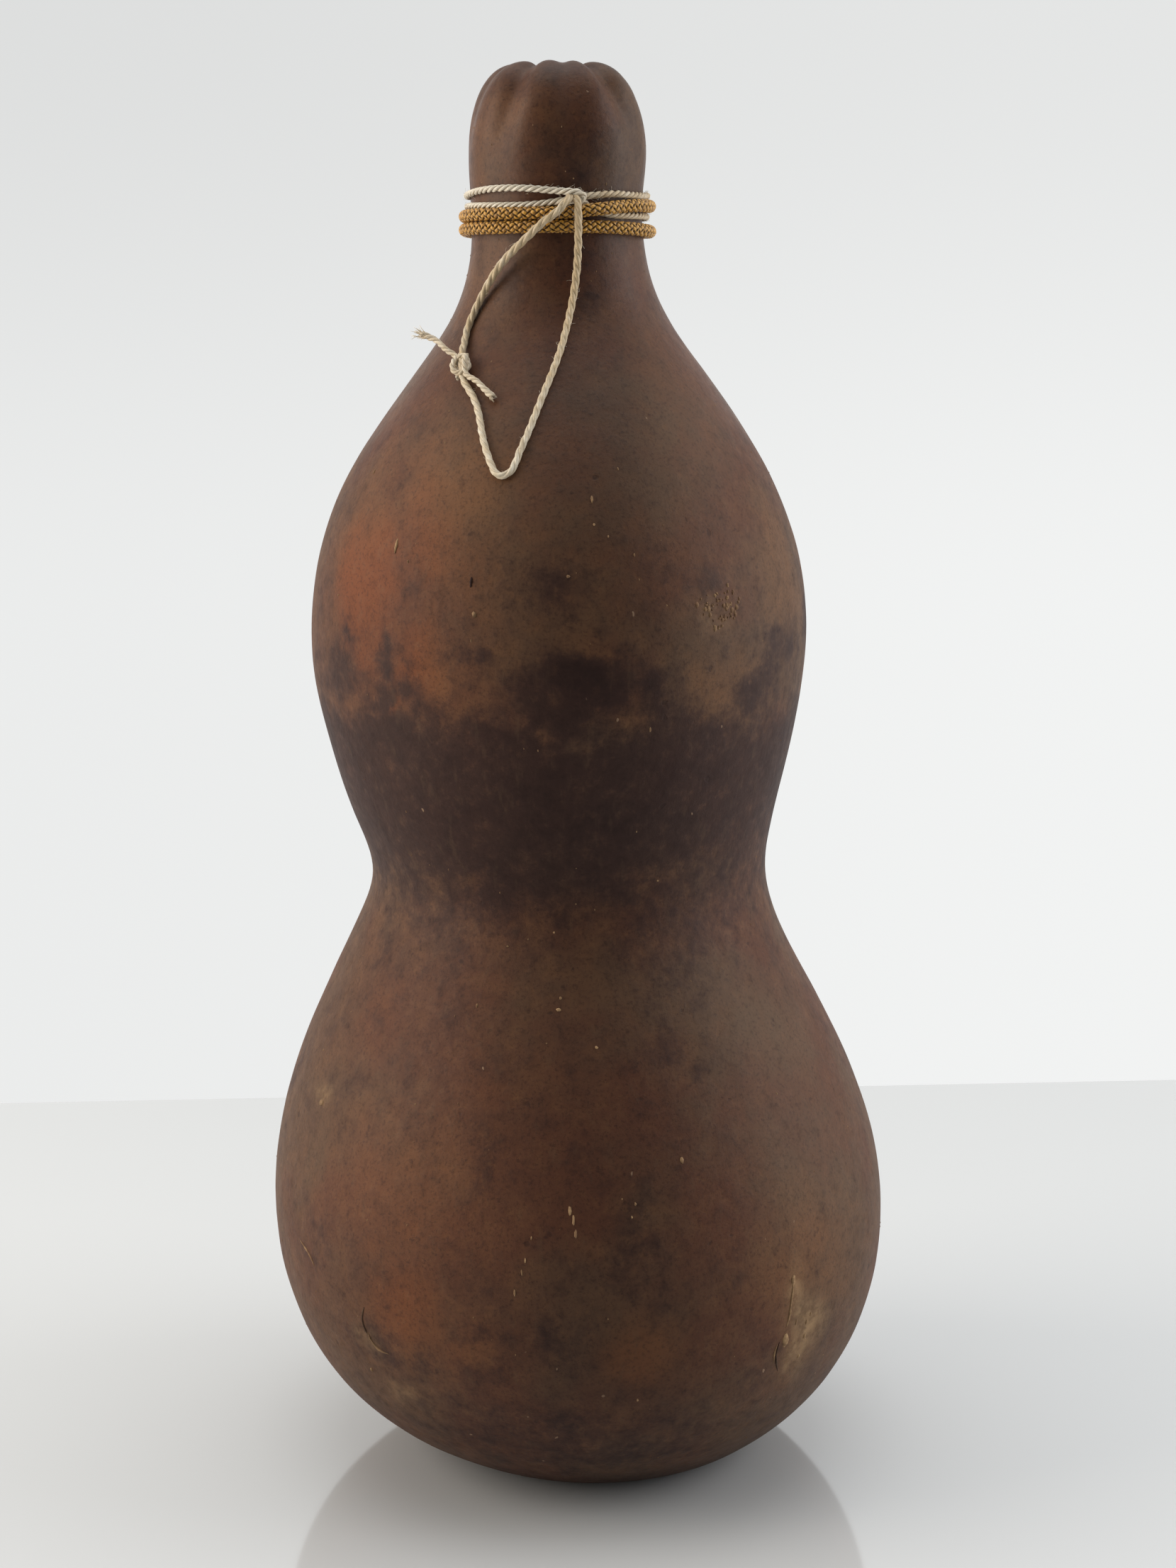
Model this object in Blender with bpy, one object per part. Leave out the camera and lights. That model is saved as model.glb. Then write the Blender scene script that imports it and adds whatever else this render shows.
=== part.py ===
"""Dried bottle gourd, standing upright, with a braided cord and a hitched string on its neck.

Metres, +Z up, front towards -Y. The origin is on the floor below the middle of the lower bulb.
A place on the skin is given by its azimuth in degrees from the front, positive towards +X, its
height, and how far it stands off the skin, sideways from the gourd's middle line.
"""

import math

import bmesh
import bpy
import numpy as np

MM = 0.001

# Main sizes of the gourd, in mm
HEIGHT = 330.0
FOOT_RADIUS = 24.0
LOWER_BULB_RADIUS = 74.4
WAIST_RADIUS = 47.6
UPPER_BULB_RADIUS = 58.5
NECK_RADIUS = 19.9
HEAD_RADIUS = 20.6
SCAR_RADIUS = 2.6
DIMPLE_DEPTH = 3.6

# Outline from the foot up and over the rim into the stem's dimple, in mm:
# height, radius, and how far the middle line leans towards +X
OUTLINE = (
    (0.0, FOOT_RADIUS, 4.5),
    (1.4, 38.0, 4.4),
    (5.0, 45.0, 3.8),
    (11.0, 53.2, 2.7),
    (22.0, 63.5, 1.5),
    (42.0, 72.5, 0.6),
    (66.0, LOWER_BULB_RADIUS, 0.0),
    (90.0, 69.1, -0.8),
    (112.0, 59.6, -1.8),
    (130.0, 50.9, -2.2),
    (142.0, WAIST_RADIUS, -1.9),
    (156.0, 50.4, -3.2),
    (172.0, 54.8, -4.0),
    (188.0, 57.9, -4.4),
    (204.0, UPPER_BULB_RADIUS, -4.3),
    (220.0, 56.1, -4.3),
    (236.0, 50.1, -4.2),
    (250.0, 41.4, -3.9),
    (264.0, 31.1, -3.9),
    (276.0, 23.6, -4.1),
    (288.0, 20.3, -4.3),
    (300.0, NECK_RADIUS, -4.5),
    (310.0, HEAD_RADIUS, -4.3),
    (318.0, 19.9, -4.2),
    (324.0, 17.8, -4.2),
    (328.0, 14.6, -4.3),
    (HEIGHT, 10.2, -4.4),
    (HEIGHT - 0.2, 7.4, -4.5),
    (HEIGHT - 1.6, 5.2, -4.6),
    (HEIGHT - DIMPLE_DEPTH, SCAR_RADIUS, -4.6),
)
BACKWARD_LEAN = 1.2

# How far the bulbs are out of round, as a share of the radius
OVAL_SHARE = 0.010
THREE_SIDED_SHARE = 0.008

# Furrows between the lobes of the stem end: azimuth at the rim, azimuth where it fades, depth in mm
FURROWS = (
    (-74.0, -82.0, 0.9),
    (-31.0, -40.0, 1.5),
    (8.0, 10.0, 0.6),
    (41.0, 62.0, 1.5),
    (84.0, 96.0, 1.0),
    (122.0, 126.0, 1.4),
    (160.0, 160.0, 0.9),
    (201.0, 196.0, 1.3),
    (243.0, 240.0, 1.1),
)
FURROW_HALF_WIDTH = 10.0
FURROW_FADE_HEIGHT = 304.0

# Mesh of the gourd
SEGMENTS = 64
RING_STEP_BODY = 10.5
RING_STEP_END = 2.4

# Cords, in mm
GAP = 0.3
GOLD_DIAMETER = 2.9
STRING_DIAMETER = 1.5
POINTS_PER_TURN = 36
STRING_STEP = 3.3
ON_SKIN_GOLD = GAP + GOLD_DIAMETER / 2
ON_SKIN = GAP + STRING_DIAMETER / 2
ON_SHOULDER = 1.45
OVER_GOLD = 4.6

# Gold cord from its tie at the back, twice round the neck, and back to the tie:
# azimuth, height, and stand-off in mm. It rises over the string where the two cross.
GOLD_ROUTE = (
    (-168.5, 294.3, 5.4),
    (-164.0, 293.7, 5.3),
    (-158.0, 292.9, 4.8),
    (-148.0, 292.1, 3.9),
    (-138.0, 291.9, 2.7),
    (-126.0, 291.9, ON_SKIN_GOLD),
    (-74.0, 292.2, ON_SKIN_GOLD),
    (-38.0, 292.3, ON_SKIN_GOLD),
    (0.0, 292.5, ON_SKIN_GOLD),
    (38.0, 292.4, ON_SKIN_GOLD),
    (86.0, 292.2, ON_SKIN_GOLD),
    (120.0, 292.6, ON_SKIN_GOLD),
    (150.0, 293.4, ON_SKIN_GOLD),
    (180.0, 294.1, ON_SKIN_GOLD),
    (210.0, 294.9, ON_SKIN_GOLD),
    (240.0, 295.4, ON_SKIN_GOLD),
    (286.0, 295.5, ON_SKIN_GOLD),
    (322.0, 295.5, ON_SKIN_GOLD),
    (350.0, 295.6, ON_SKIN_GOLD),
    (364.0, 295.7, ON_SKIN_GOLD),
    (371.0, 296.0, 2.0),
    (378.0, 296.4, 3.3),
    (385.0, 296.9, 3.8),
    (392.0, 297.4, 3.1),
    (402.0, 297.7, ON_SKIN_GOLD),
    (446.0, 298.0, ON_SKIN_GOLD),
    (480.0, 298.4, ON_SKIN_GOLD),
    (500.0, 298.5, ON_SKIN_GOLD),
    (512.0, 298.3, 2.5),
    (521.0, 297.5, 4.1),
    (529.0, 296.8, 5.2),
)

# The string's two closed turns round the neck: azimuth and height in mm
TURN_START = -150.0
UPPER_TURN = (
    (TURN_START, 301.2),
    (-77.0, 300.9),
    (-53.0, 301.3),
    (-30.0, 301.5),
    (-10.0, 301.0),
    (0.0, 300.5),
    (10.0, 300.0),
    (19.0, 299.8),
    (35.0, 300.3),
    (53.0, 300.5),
    (80.0, 300.6),
    (120.0, 301.1),
    (150.0, 301.3),
    (180.0, 301.3),
)
LOWER_TURN = (
    (TURN_START, 297.7),
    (-110.0, 298.1),
    (-71.0, 298.1),
    (-34.0, 298.1),
    (-11.0, 298.0),
    (0.0, 298.3),
    (8.0, 298.9),
    (12.0, 298.6),
    (18.0, 297.7),
    (25.0, 296.4),
    (33.0, 295.4),
    (45.0, 295.2),
    (80.0, 295.4),
    (120.0, 295.6),
    (150.0, 296.1),
    (180.0, 297.0),
)

# The hitch: each hanging strand arches over both turns. Height and stand-off in mm
HITCH_AZIMUTHS = (5.8, 11.4)
HITCH_ARCH = (
    (301.9, 1.2),
    (301.3, 2.1),
    (300.2, 2.3),
    (299.2, 2.8),
    (298.5, 4.1),
)

# Hanging loop. Left strand, from the hitch to the knot: azimuth, height, stand-off
LEFT_STRAND = (
    (4.3, 297.5, 4.8),
    (0.9, 296.2, OVER_GOLD),
    (-5.0, 294.4, OVER_GOLD),
    (-12.5, 291.8, 4.4),
    (-21.0, 288.8, 3.9),
    (-32.0, 285.0, 2.9),
    (-42.0, 280.1, 1.9),
    (-48.2, 274.8, ON_SHOULDER),
    (-48.0, 270.0, ON_SHOULDER),
    (-45.0, 267.2, 1.6),
)

# Right strand, from the knot round the bottom of the loop and up to the hitch
RIGHT_STRAND = (
    (-34.6, 258.0, 1.6),
    (-31.0, 256.4, ON_SHOULDER),
    (-25.4, 252.2, ON_SHOULDER),
    (-20.2, 246.0, ON_SHOULDER),
    (-16.8, 241.8, ON_SHOULDER),
    (-14.9, 239.7, ON_SHOULDER),
    (-13.2, 239.3, ON_SHOULDER),
    (-11.8, 240.6, ON_SHOULDER),
    (-9.4, 247.0, ON_SHOULDER),
    (-6.0, 254.5, ON_SHOULDER),
    (-3.0, 260.0, ON_SHOULDER),
    (0.5, 265.4, ON_SHOULDER),
    (4.6, 271.8, ON_SHOULDER),
    (8.3, 277.8, 1.8),
    (10.6, 284.0, 3.4),
    (11.2, 290.0, 4.7),
    (11.3, 294.0, 5.1),
    (11.4, 297.7, 5.0),
)

# A knot's two wraps: how far each is shifted along the knot and tilted, in mm
KNOT_WRAPS = ((-0.9, 0.5), (0.8, -0.6))
WRAP_SHARE = 0.8
WRAP_POINTS = 14

# The string's knot and its two tails
KNOT_PLACE = (-38.4, 262.4, 3.3)
KNOT_SEMI_AXES = (2.0, 2.9, 1.7)
KNOT_TURN = 28.0
TAIL_OUTWARD = (
    (-40.5, 262.8, 3.3),
    (-46.0, 265.8, 3.9),
    (-53.0, 268.6, 5.6),
    (-60.0, 270.4, 9.0),
)
TAIL_INWARD = (
    (-37.0, 261.6, 3.2),
    (-31.0, 259.6, 2.6),
    (-25.0, 257.4, 2.2),
    (-20.6, 255.4, 2.0),
)

# The gold cord's tie at the back and its two ends
TIE_PLACE = (180.0, 295.8, 6.5)
TIE_SEMI_AXES = (3.2, 2.3, 1.7)
TIE_TURN = -8.0
TIE_END_LEFT = (
    (182.0, 295.0, 5.9),
    (189.0, 291.5, 6.0),
    (193.0, 287.0, 4.9),
    (194.0, 282.5, 4.4),
)
TIE_END_RIGHT = (
    (178.0, 295.4, 6.0),
    (171.0, 292.5, 6.6),
    (167.0, 288.6, 5.4),
    (165.0, 284.6, 4.4),
)

# Finishes: colour, roughness
GOURD_FINISH = ((0.16, 0.075, 0.045, 1.0), 0.42)
GOLD_FINISH = ((0.42, 0.24, 0.045, 1.0), 0.6)
STRING_FINISH = ((0.60, 0.53, 0.42, 1.0), 0.75)


def clear_scene():
    for old in list(bpy.data.objects):
        bpy.data.objects.remove(old, do_unlink=True)


def spline(knots, values, at):
    """Natural cubic spline through rows of values at the knots, read at the places in at."""
    knots = np.asarray(knots, float)
    values = np.asarray(values, float)
    gap = np.diff(knots)
    slope = np.diff(values, axis=0) / gap[:, None]
    matrix = np.eye(len(knots))
    change = np.zeros_like(values)
    for i in range(1, len(knots) - 1):
        matrix[i, i - 1 : i + 2] = gap[i - 1], 2 * (gap[i - 1] + gap[i]), gap[i]
        change[i] = 6 * (slope[i] - slope[i - 1])
    bend = np.linalg.solve(matrix, change)
    i = np.clip(np.searchsorted(knots, at, side="right") - 1, 0, len(knots) - 2)
    h = gap[i][:, None]
    after = (at - knots[i])[:, None] / h
    before = 1 - after
    curve = (before**3 - before) * bend[i] + (after**3 - after) * bend[i + 1]
    return before * values[i] + after * values[i + 1] + curve * h**2 / 6


def chord_lengths(points):
    steps = np.linalg.norm(np.diff(np.asarray(points, float), axis=0), axis=1)
    return np.concatenate([[0.0], np.cumsum(steps)])


def smoothstep(low, high, value):
    share = np.clip((value - low) / (high - low), 0.0, 1.0)
    return share * share * (3 - 2 * share)


OUTLINE_KNOTS = chord_lengths([row[:2] for row in OUTLINE])
SKIN_ROWS = spline(OUTLINE_KNOTS, OUTLINE, np.linspace(0.0, OUTLINE_KNOTS[-1], 1500))
UP_TO_RIM = SKIN_ROWS[: int(np.argmax(SKIN_ROWS[:, 0])) + 1]


def out_of_round(angle, height):
    """Share by which the skin stands out, none at the foot, the neck and the two side views."""
    bulbs = smoothstep(8.0, 40.0, height) * (1 - smoothstep(225.0, 270.0, height))
    return bulbs * (OVAL_SHARE * np.sin(2 * angle) + THREE_SIDED_SHARE * np.cos(3 * angle))


def middle_line(height):
    lean = np.interp(height, UP_TO_RIM[:, 0], UP_TO_RIM[:, 2])
    back = BACKWARD_LEAN * math.sin(math.pi * min(height / HEIGHT, 1.0))
    return lean, back


def skin_point(azimuth, height, stand_off):
    """World place, in metres, at a stand-off from the skin."""
    angle = math.radians(azimuth)
    radius = np.interp(height, UP_TO_RIM[:, 0], UP_TO_RIM[:, 1])
    radius = radius * (1 + out_of_round(angle, height)) + stand_off
    lean, back = middle_line(height)
    x = lean + radius * math.sin(angle)
    y = back - radius * math.cos(angle)
    return np.array([x, y, height]) * MM


def furrow_depth(angle, height, radius):
    """Depth of the lobes' furrows, fading down the head and into the dimple."""
    fade = smoothstep(FURROW_FADE_HEIGHT, HEIGHT - 5.0, height) * smoothstep(3.0, 8.0, radius)
    depth = 0.0
    for at_rim, at_fade, deepest in FURROWS:
        down = 1 - smoothstep(FURROW_FADE_HEIGHT, HEIGHT, height)
        middle = math.radians(at_rim + (at_fade - at_rim) * down)
        away = math.remainder(angle - middle, 2 * math.pi)
        depth += deepest * math.exp(-((away / math.radians(FURROW_HALF_WIDTH)) ** 2))
    return fade * depth


def ring_places():
    """Places of the mesh rings along the outline, closer together near both ends."""
    end = OUTLINE_KNOTS[-1]
    marks = (0.0, 25.0, 60.0, end - 60.0, end - 32.0, end)
    steps = (3.0, 5.0, RING_STEP_BODY, RING_STEP_BODY, RING_STEP_END, RING_STEP_END)
    fine = np.linspace(0.0, end, 2000)
    density = 1 / np.interp(fine, marks, steps)
    count = np.concatenate([[0.0], np.cumsum((density[1:] + density[:-1]) / 2 * np.diff(fine))])
    return np.interp(np.linspace(0.0, count[-1], round(count[-1]) + 1), count, fine)


def gourd_ring(place):
    """World points of one ring, pushed in along the outline's normal where there is a furrow."""
    height, radius, lean = spline(OUTLINE_KNOTS, OUTLINE, np.array([place]))[0]
    ahead = spline(OUTLINE_KNOTS, OUTLINE, np.array([place - 0.05, place + 0.05]))
    rise, widening = (ahead[1] - ahead[0])[:2]
    length = math.hypot(rise, widening)
    back = middle_line(height)[1]
    points = []
    for step in range(SEGMENTS):
        angle = 2 * math.pi * step / SEGMENTS
        depth = furrow_depth(angle, height, radius)
        reach = radius * (1 + out_of_round(angle, height)) - depth * rise / length
        z = max(0.0, height + depth * widening / length)
        x = lean + reach * math.sin(angle)
        y = back - reach * math.cos(angle)
        points.append(np.array([x, y, z]) * MM)
    return points


def finish(name, colour, roughness):
    material = bpy.data.materials.new(name)
    material.use_nodes = True
    shader = material.node_tree.nodes["Principled BSDF"]
    shader.inputs["Base Color"].default_value = colour
    shader.inputs["Roughness"].default_value = roughness
    shader.inputs["Metallic"].default_value = 0.0
    return material


def add_object(name, data, material=None):
    if material:
        data.materials.clear()
        data.materials.append(material)
    made = bpy.data.objects.new(name, data)
    bpy.context.scene.collection.objects.link(made)
    return made


def add_gourd(material):
    mesh = bmesh.new()
    rings = []
    for place in ring_places():
        rings.append([mesh.verts.new(point) for point in gourd_ring(place)])
    for low, high in zip(rings, rings[1:]):
        for step in range(SEGMENTS):
            after = (step + 1) % SEGMENTS
            mesh.faces.new((low[step], low[after], high[after], high[step]))
    mesh.faces.new(rings[0])
    mesh.faces.new(rings[-1])
    bmesh.ops.recalc_face_normals(mesh, faces=mesh.faces)
    data = bpy.data.meshes.new("gourd")
    mesh.to_mesh(data)
    mesh.free()
    data.shade_smooth()
    return add_object("gourd", data, material)


def smooth_route(route, step):
    """World points, about step mm apart, on a smooth curve through a route given on the skin."""
    places = np.array([skin_point(*stop) for stop in route]) / MM
    knots = chord_lengths(places)
    count = max(3, round(knots[-1] / step) + 1)
    return spline(knots, places, np.linspace(0.0, knots[-1], count)) * MM


def wound_route(route, first, last, count, closed=False):
    """World points on a winding, evenly spaced in azimuth, and never nearer than on the skin."""
    azimuths = np.linspace(first, last, count, endpoint=not closed)
    rows = np.array(route)
    if closed:
        rows = np.concatenate([rows[-3:] - (360, 0), rows, rows[:3] + (360, 0)])
    values = spline(rows[:, 0], rows[:, 1:], azimuths)
    if values.shape[1] == 1:
        values = np.column_stack([values, np.full(count, ON_SKIN)])
    else:
        values[:, 1] = np.maximum(values[:, 1], ON_SKIN_GOLD)
    return np.array([skin_point(a, *row) for a, row in zip(azimuths, values)])


def add_tube(name, points, diameter, material=None, closed=False):
    data = bpy.data.curves.new(name, "CURVE")
    data.dimensions = "3D"
    data.bevel_depth = diameter * MM / 2
    data.bevel_resolution = 2
    data.use_fill_caps = True
    line = data.splines.new("POLY")
    line.points.add(len(points) - 1)
    for spot, point in zip(line.points, points):
        spot.co = (*point, 1.0)
    line.use_cyclic_u = closed
    return add_object(name, data, material)


def evaluated_mesh(made):
    """The object's shape as a mesh of its own. The object goes."""
    bpy.context.view_layer.update()
    graph = bpy.context.evaluated_depsgraph_get()
    mesh = bpy.data.meshes.new_from_object(made.evaluated_get(graph))
    bpy.data.objects.remove(made, do_unlink=True)
    return mesh


def fuse(name, pieces, material):
    """One solid from pieces that overlap, by Boolean unions that are applied."""
    solids = [add_object(f"{name}_piece", evaluated_mesh(piece)) for piece in pieces]
    for other in solids[1:]:
        union = solids[0].modifiers.new("union", "BOOLEAN")
        union.operation = "UNION"
        union.solver = "EXACT"
        union.object = other
    mesh = evaluated_mesh(solids[0])
    for other in solids[1:]:
        bpy.data.objects.remove(other, do_unlink=True)
    mesh.shade_smooth()
    return add_object(name, mesh, material)


def skin_axes(azimuth, height, turn):
    """Directions at a place on the skin: across, along and outward, turned in the skin's plane."""
    here = skin_point(azimuth, height, 0.0)
    across = skin_point(azimuth + 0.5, height, 0.0) - here
    along = skin_point(azimuth, height + 0.5, 0.0) - here
    across /= np.linalg.norm(across)
    along /= np.linalg.norm(along)
    outward = np.cross(across, along)
    angle = math.radians(turn)
    turned = math.cos(angle) * across + math.sin(angle) * along
    return turned, np.cross(outward, turned), outward


def add_lump(place, semi_axes, turn):
    """The middle of a knot: an ellipsoid, longest along the cord."""
    axes = np.array(skin_axes(place[0], place[1], turn))
    mesh = bmesh.new()
    bmesh.ops.create_uvsphere(mesh, u_segments=12, v_segments=8, radius=1.0)
    for vert in mesh.verts:
        scaled = np.array(vert.co) * np.array(semi_axes) * MM
        vert.co = skin_point(*place) + scaled @ axes
    data = bpy.data.meshes.new("lump")
    mesh.to_mesh(data)
    mesh.free()
    return add_object("lump", data)


def add_wrap(place, semi_axes, turn, shift, tilt, diameter):
    """One wrap of the cord round a knot's lump, shifted along it and tilted."""
    axes = np.array(skin_axes(place[0], place[1], turn))
    points = []
    for step in range(WRAP_POINTS):
        angle = 2 * math.pi * step / WRAP_POINTS
        x = semi_axes[0] * math.cos(angle)
        y = shift + tilt * math.cos(angle)
        z = semi_axes[2] * math.sin(angle)
        points.append(skin_point(*place) + np.array([x, y, z]) @ axes * MM)
    return add_tube("wrap", points, diameter, closed=True)


def add_string_turns(material):
    """Both turns round the neck, pulled together at the hitch under two arches of string."""
    pieces = []
    for route in (UPPER_TURN, LOWER_TURN):
        points = wound_route(route, TURN_START, TURN_START + 360, POINTS_PER_TURN, closed=True)
        pieces.append(add_tube("turn", points, STRING_DIAMETER, closed=True))
    for azimuth in HITCH_AZIMUTHS:
        arch = smooth_route([(azimuth, *stop) for stop in HITCH_ARCH], STRING_DIAMETER / 2)
        pieces.append(add_tube("arch", arch, STRING_DIAMETER))
    return fuse("string_turns", pieces, material)


def add_knot(name, place, semi_axes, turn, tails, diameter, material):
    """A small tight knot: a lump, two tilted wraps and two tails, in one solid."""
    pieces = [add_lump(place, semi_axes, turn)]
    for shift, tilt in KNOT_WRAPS:
        wrap = add_wrap(place, semi_axes, turn, shift, tilt, diameter * WRAP_SHARE)
        pieces.append(wrap)
    for tail in tails:
        pieces.append(add_tube("tail", smooth_route(tail, diameter), diameter))
    return fuse(name, pieces, material)


def add_cords(gold, string):
    first, last = GOLD_ROUTE[0][0], GOLD_ROUTE[-1][0]
    count = round((last - first) / 360 * POINTS_PER_TURN)
    wound = wound_route(GOLD_ROUTE, first, last, count)
    add_tube("gold_cord", wound, GOLD_DIAMETER, gold)
    tie_ends = (TIE_END_LEFT, TIE_END_RIGHT)
    add_knot("gold_knot", TIE_PLACE, TIE_SEMI_AXES, TIE_TURN, tie_ends, GOLD_DIAMETER, gold)
    add_string_turns(string)
    add_tube("string_left", smooth_route(LEFT_STRAND, STRING_STEP), STRING_DIAMETER, string)
    add_tube("string_right", smooth_route(RIGHT_STRAND, STRING_STEP), STRING_DIAMETER, string)
    tails = (TAIL_OUTWARD, TAIL_INWARD)
    add_knot("string_knot", KNOT_PLACE, KNOT_SEMI_AXES, KNOT_TURN, tails, STRING_DIAMETER, string)


clear_scene()
add_gourd(finish("gourd_skin", *GOURD_FINISH))
add_cords(finish("gold_braid", *GOLD_FINISH), finish("pale_string", *STRING_FINISH))
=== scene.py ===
"""Looks of the dried bottle gourd: waxed, mottled skin, a braided gold cord and a hitched string.

Lengths are in millimetres until MM turns them into metres. A place on the skin is an azimuth in
degrees from the front (-Y), positive towards +X, a height, and a stand-off from the skin.
"""

import itertools
import math

import bpy
import numpy as np
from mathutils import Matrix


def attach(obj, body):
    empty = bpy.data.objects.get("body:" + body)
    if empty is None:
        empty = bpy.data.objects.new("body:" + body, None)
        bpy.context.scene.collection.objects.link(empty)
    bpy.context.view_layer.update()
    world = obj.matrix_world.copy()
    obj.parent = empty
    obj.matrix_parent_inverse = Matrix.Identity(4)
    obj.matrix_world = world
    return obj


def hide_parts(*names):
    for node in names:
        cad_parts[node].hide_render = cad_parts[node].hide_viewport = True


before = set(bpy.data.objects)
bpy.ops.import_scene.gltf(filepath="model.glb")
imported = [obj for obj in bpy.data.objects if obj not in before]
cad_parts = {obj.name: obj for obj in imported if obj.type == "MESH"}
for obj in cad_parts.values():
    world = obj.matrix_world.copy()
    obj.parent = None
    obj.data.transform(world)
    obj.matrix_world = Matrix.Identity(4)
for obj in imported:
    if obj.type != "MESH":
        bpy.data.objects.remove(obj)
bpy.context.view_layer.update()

MM = 0.001

# Camera, fitted to the photo's frame: place in mm, pitch below the horizon, lens
CAMERA_PLACE = (2.64, -599.7, 272.7)
CAMERA_PITCH = 10.39
SENSOR_HEIGHT = 36.0
IMAGE_HEIGHT = 2212
FOCAL_PIXELS = 3579.0

# Outline from the foot up and over the rim into the stem's dimple, in mm:
# height, radius, and how far the middle line leans towards +X
HEIGHT = 330.0
SCAR_RADIUS = 2.6
FOOT_RADIUS = 24.0
OUTLINE = (
    (0, FOOT_RADIUS, 4.5),
    (1.4, 38, 4.4),
    (5, 45, 3.8),
    (11, 53.2, 2.7),
    (22, 63.5, 1.5),
    (42, 72.5, 0.6),
    (66, 74.4, 0),
    (90, 69.1, -0.8),
    (112, 59.6, -1.8),
    (130, 50.9, -2.2),
    (142, 47.6, -1.9),
    (156, 50.4, -3.2),
    (172, 54.8, -4),
    (188, 57.9, -4.4),
    (204, 58.5, -4.3),
    (220, 56.1, -4.3),
    (236, 50.1, -4.2),
    (250, 41.4, -3.9),
    (264, 31.1, -3.9),
    (276, 23.6, -4.1),
    (288, 20.3, -4.3),
    (300, 19.9, -4.5),
    (310, 20.6, -4.3),
    (318, 19.9, -4.2),
    (324, 17.8, -4.2),
    (328, 14.6, -4.3),
    (HEIGHT, 10.2, -4.4),
    (HEIGHT - 0.2, 7.4, -4.5),
    (HEIGHT - 1.6, 5.2, -4.6),
    (HEIGHT - 3.6, SCAR_RADIUS, -4.6),
)
BACKWARD_LEAN = 1.2
OVAL_SHARE = 0.010
THREE_SIDED_SHARE = 0.008
OVAL_RISES = (8.0, 40.0)
OVAL_FADES = (225.0, 270.0)

# Furrows between the lobes of the stem end: azimuth at the rim, azimuth where it fades, depth in mm
FURROWS = (
    (-74, -82, 0.9),
    (-31, -40, 1.5),
    (8, 10, 0.6),
    (41, 62, 1.5),
    (84, 96, 1),
    (122, 126, 1.4),
    (160, 160, 0.9),
    (201, 196, 1.3),
    (243, 240, 1.1),
)
FURROW_HALF_WIDTH = 10.0
FURROW_FADE_HEIGHT = 304.0

# The lobes go on as faint flat facets down the head and the neck, between these heights
FACET_DEPTH = 0.22
FACET_HEIGHTS = (262.0, 300.0)
FACET_HALF_WIDTH = 1.4 * FURROW_HALF_WIDTH

# Mesh of the gourd
SEGMENTS = 296
RING_STEP_FOOT = 1.3
RING_STEP_BODY = 1.75
RING_STEP_END = 0.9
UNDERSIDE_RINGS = 9
UNDERSIDE_HOLLOW = 1.1
SCAR_RINGS = 4
SCAR_RISE = 0.5

# Relief of the skin: feature size and height in mm
RELIEF = ((34.0, 0.30), (11.0, 0.10), (4.5, 0.035))

# Cords, in mm
GOLD_DIAMETER = 3.05
STRING_DIAMETER = 1.62
NECK_MM_PER_DEGREE = 0.36
NECK_LEAN = -4.3

# A row of a route is the azimuth, the height, and the middle line's stand-off from the skin. Rows
# without a stand-off lie on the skin. OVER_GOLD is for string that crosses the gold cord
GOLD_ON_SKIN = 1.5
ON_SKIN = 0.78
ON_SHOULDER = 0.95
OVER_GOLD = 4.3

# Gold cord from its tie at the back, twice round the neck, and back to the tie
GOLD_ROUTE = (
    (-168.5, 294.3, 5.2),
    (-164, 293.7, 5),
    (-158, 292.9, 4.4),
    (-148, 292.2, 3.3),
    (-138, 292.2, 2.2),
    (-126, 292.4),
    (-74, 292.9),
    (-38, 292.9),
    (0, 293),
    (38, 292.9),
    (86, 292.5),
    (120, 292.7),
    (150, 293.4),
    (180, 294.1),
    (210, 294.9),
    (240, 295.6),
    (286, 295.9),
    (322, 295.9),
    (350, 295.9),
    (364, 296),
    (371, 296.2, 1.8),
    (378, 296.5, 2.7),
    (385, 296.8, 3.1),
    (392, 297.1, 2.7),
    (402, 297.5, 1.7),
    (446, 298.2),
    (480, 298.4),
    (500, 298.5),
    (512, 298.3, 2.4),
    (521, 297.5, 4),
    (529, 296.8, 5),
)

# The string's two turns as one line: from the hitch to the right, round the back, to the nose of
# the hitch, and round the back again under the upper gold turn
TURNS_ROUTE = (
    (9.6, 299.5, 1.5),
    (13, 299.6, 1),
    (19, 299.7),
    (35, 300.2),
    (53, 300.2),
    (80, 300.4),
    (120, 301),
    (150, 301.2),
    (180, 301.3),
    (230, 300.9),
    (283, 300.7),
    (307, 301.3),
    (330, 301.5),
    (350, 301.1),
    (358, 300.8, 0.95),
    (365, 300.6, 1.7),
    (370, 300.5, 2.3),
    (374.3, 300.1, 2.4),
    (376.2, 299.3, 2.3),
    (374.6, 298.6, 2.4),
    (370.5, 298.5, 2.2),
    (366, 298.6, 1.6),
    (360, 298.4, 0.95),
    (349, 297.9),
    (326, 297.7),
    (289, 298),
    (250, 298),
    (210, 297.4),
    (180, 296.9),
    (150, 296.3),
    (120, 295.8),
    (80, 295.8),
    (46, 295.6),
    (33, 295.9),
    (25, 296.8),
    (18, 298, 0.8),
    (13, 298.9, 1),
    (9, 299.2, 1.5),
)

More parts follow.
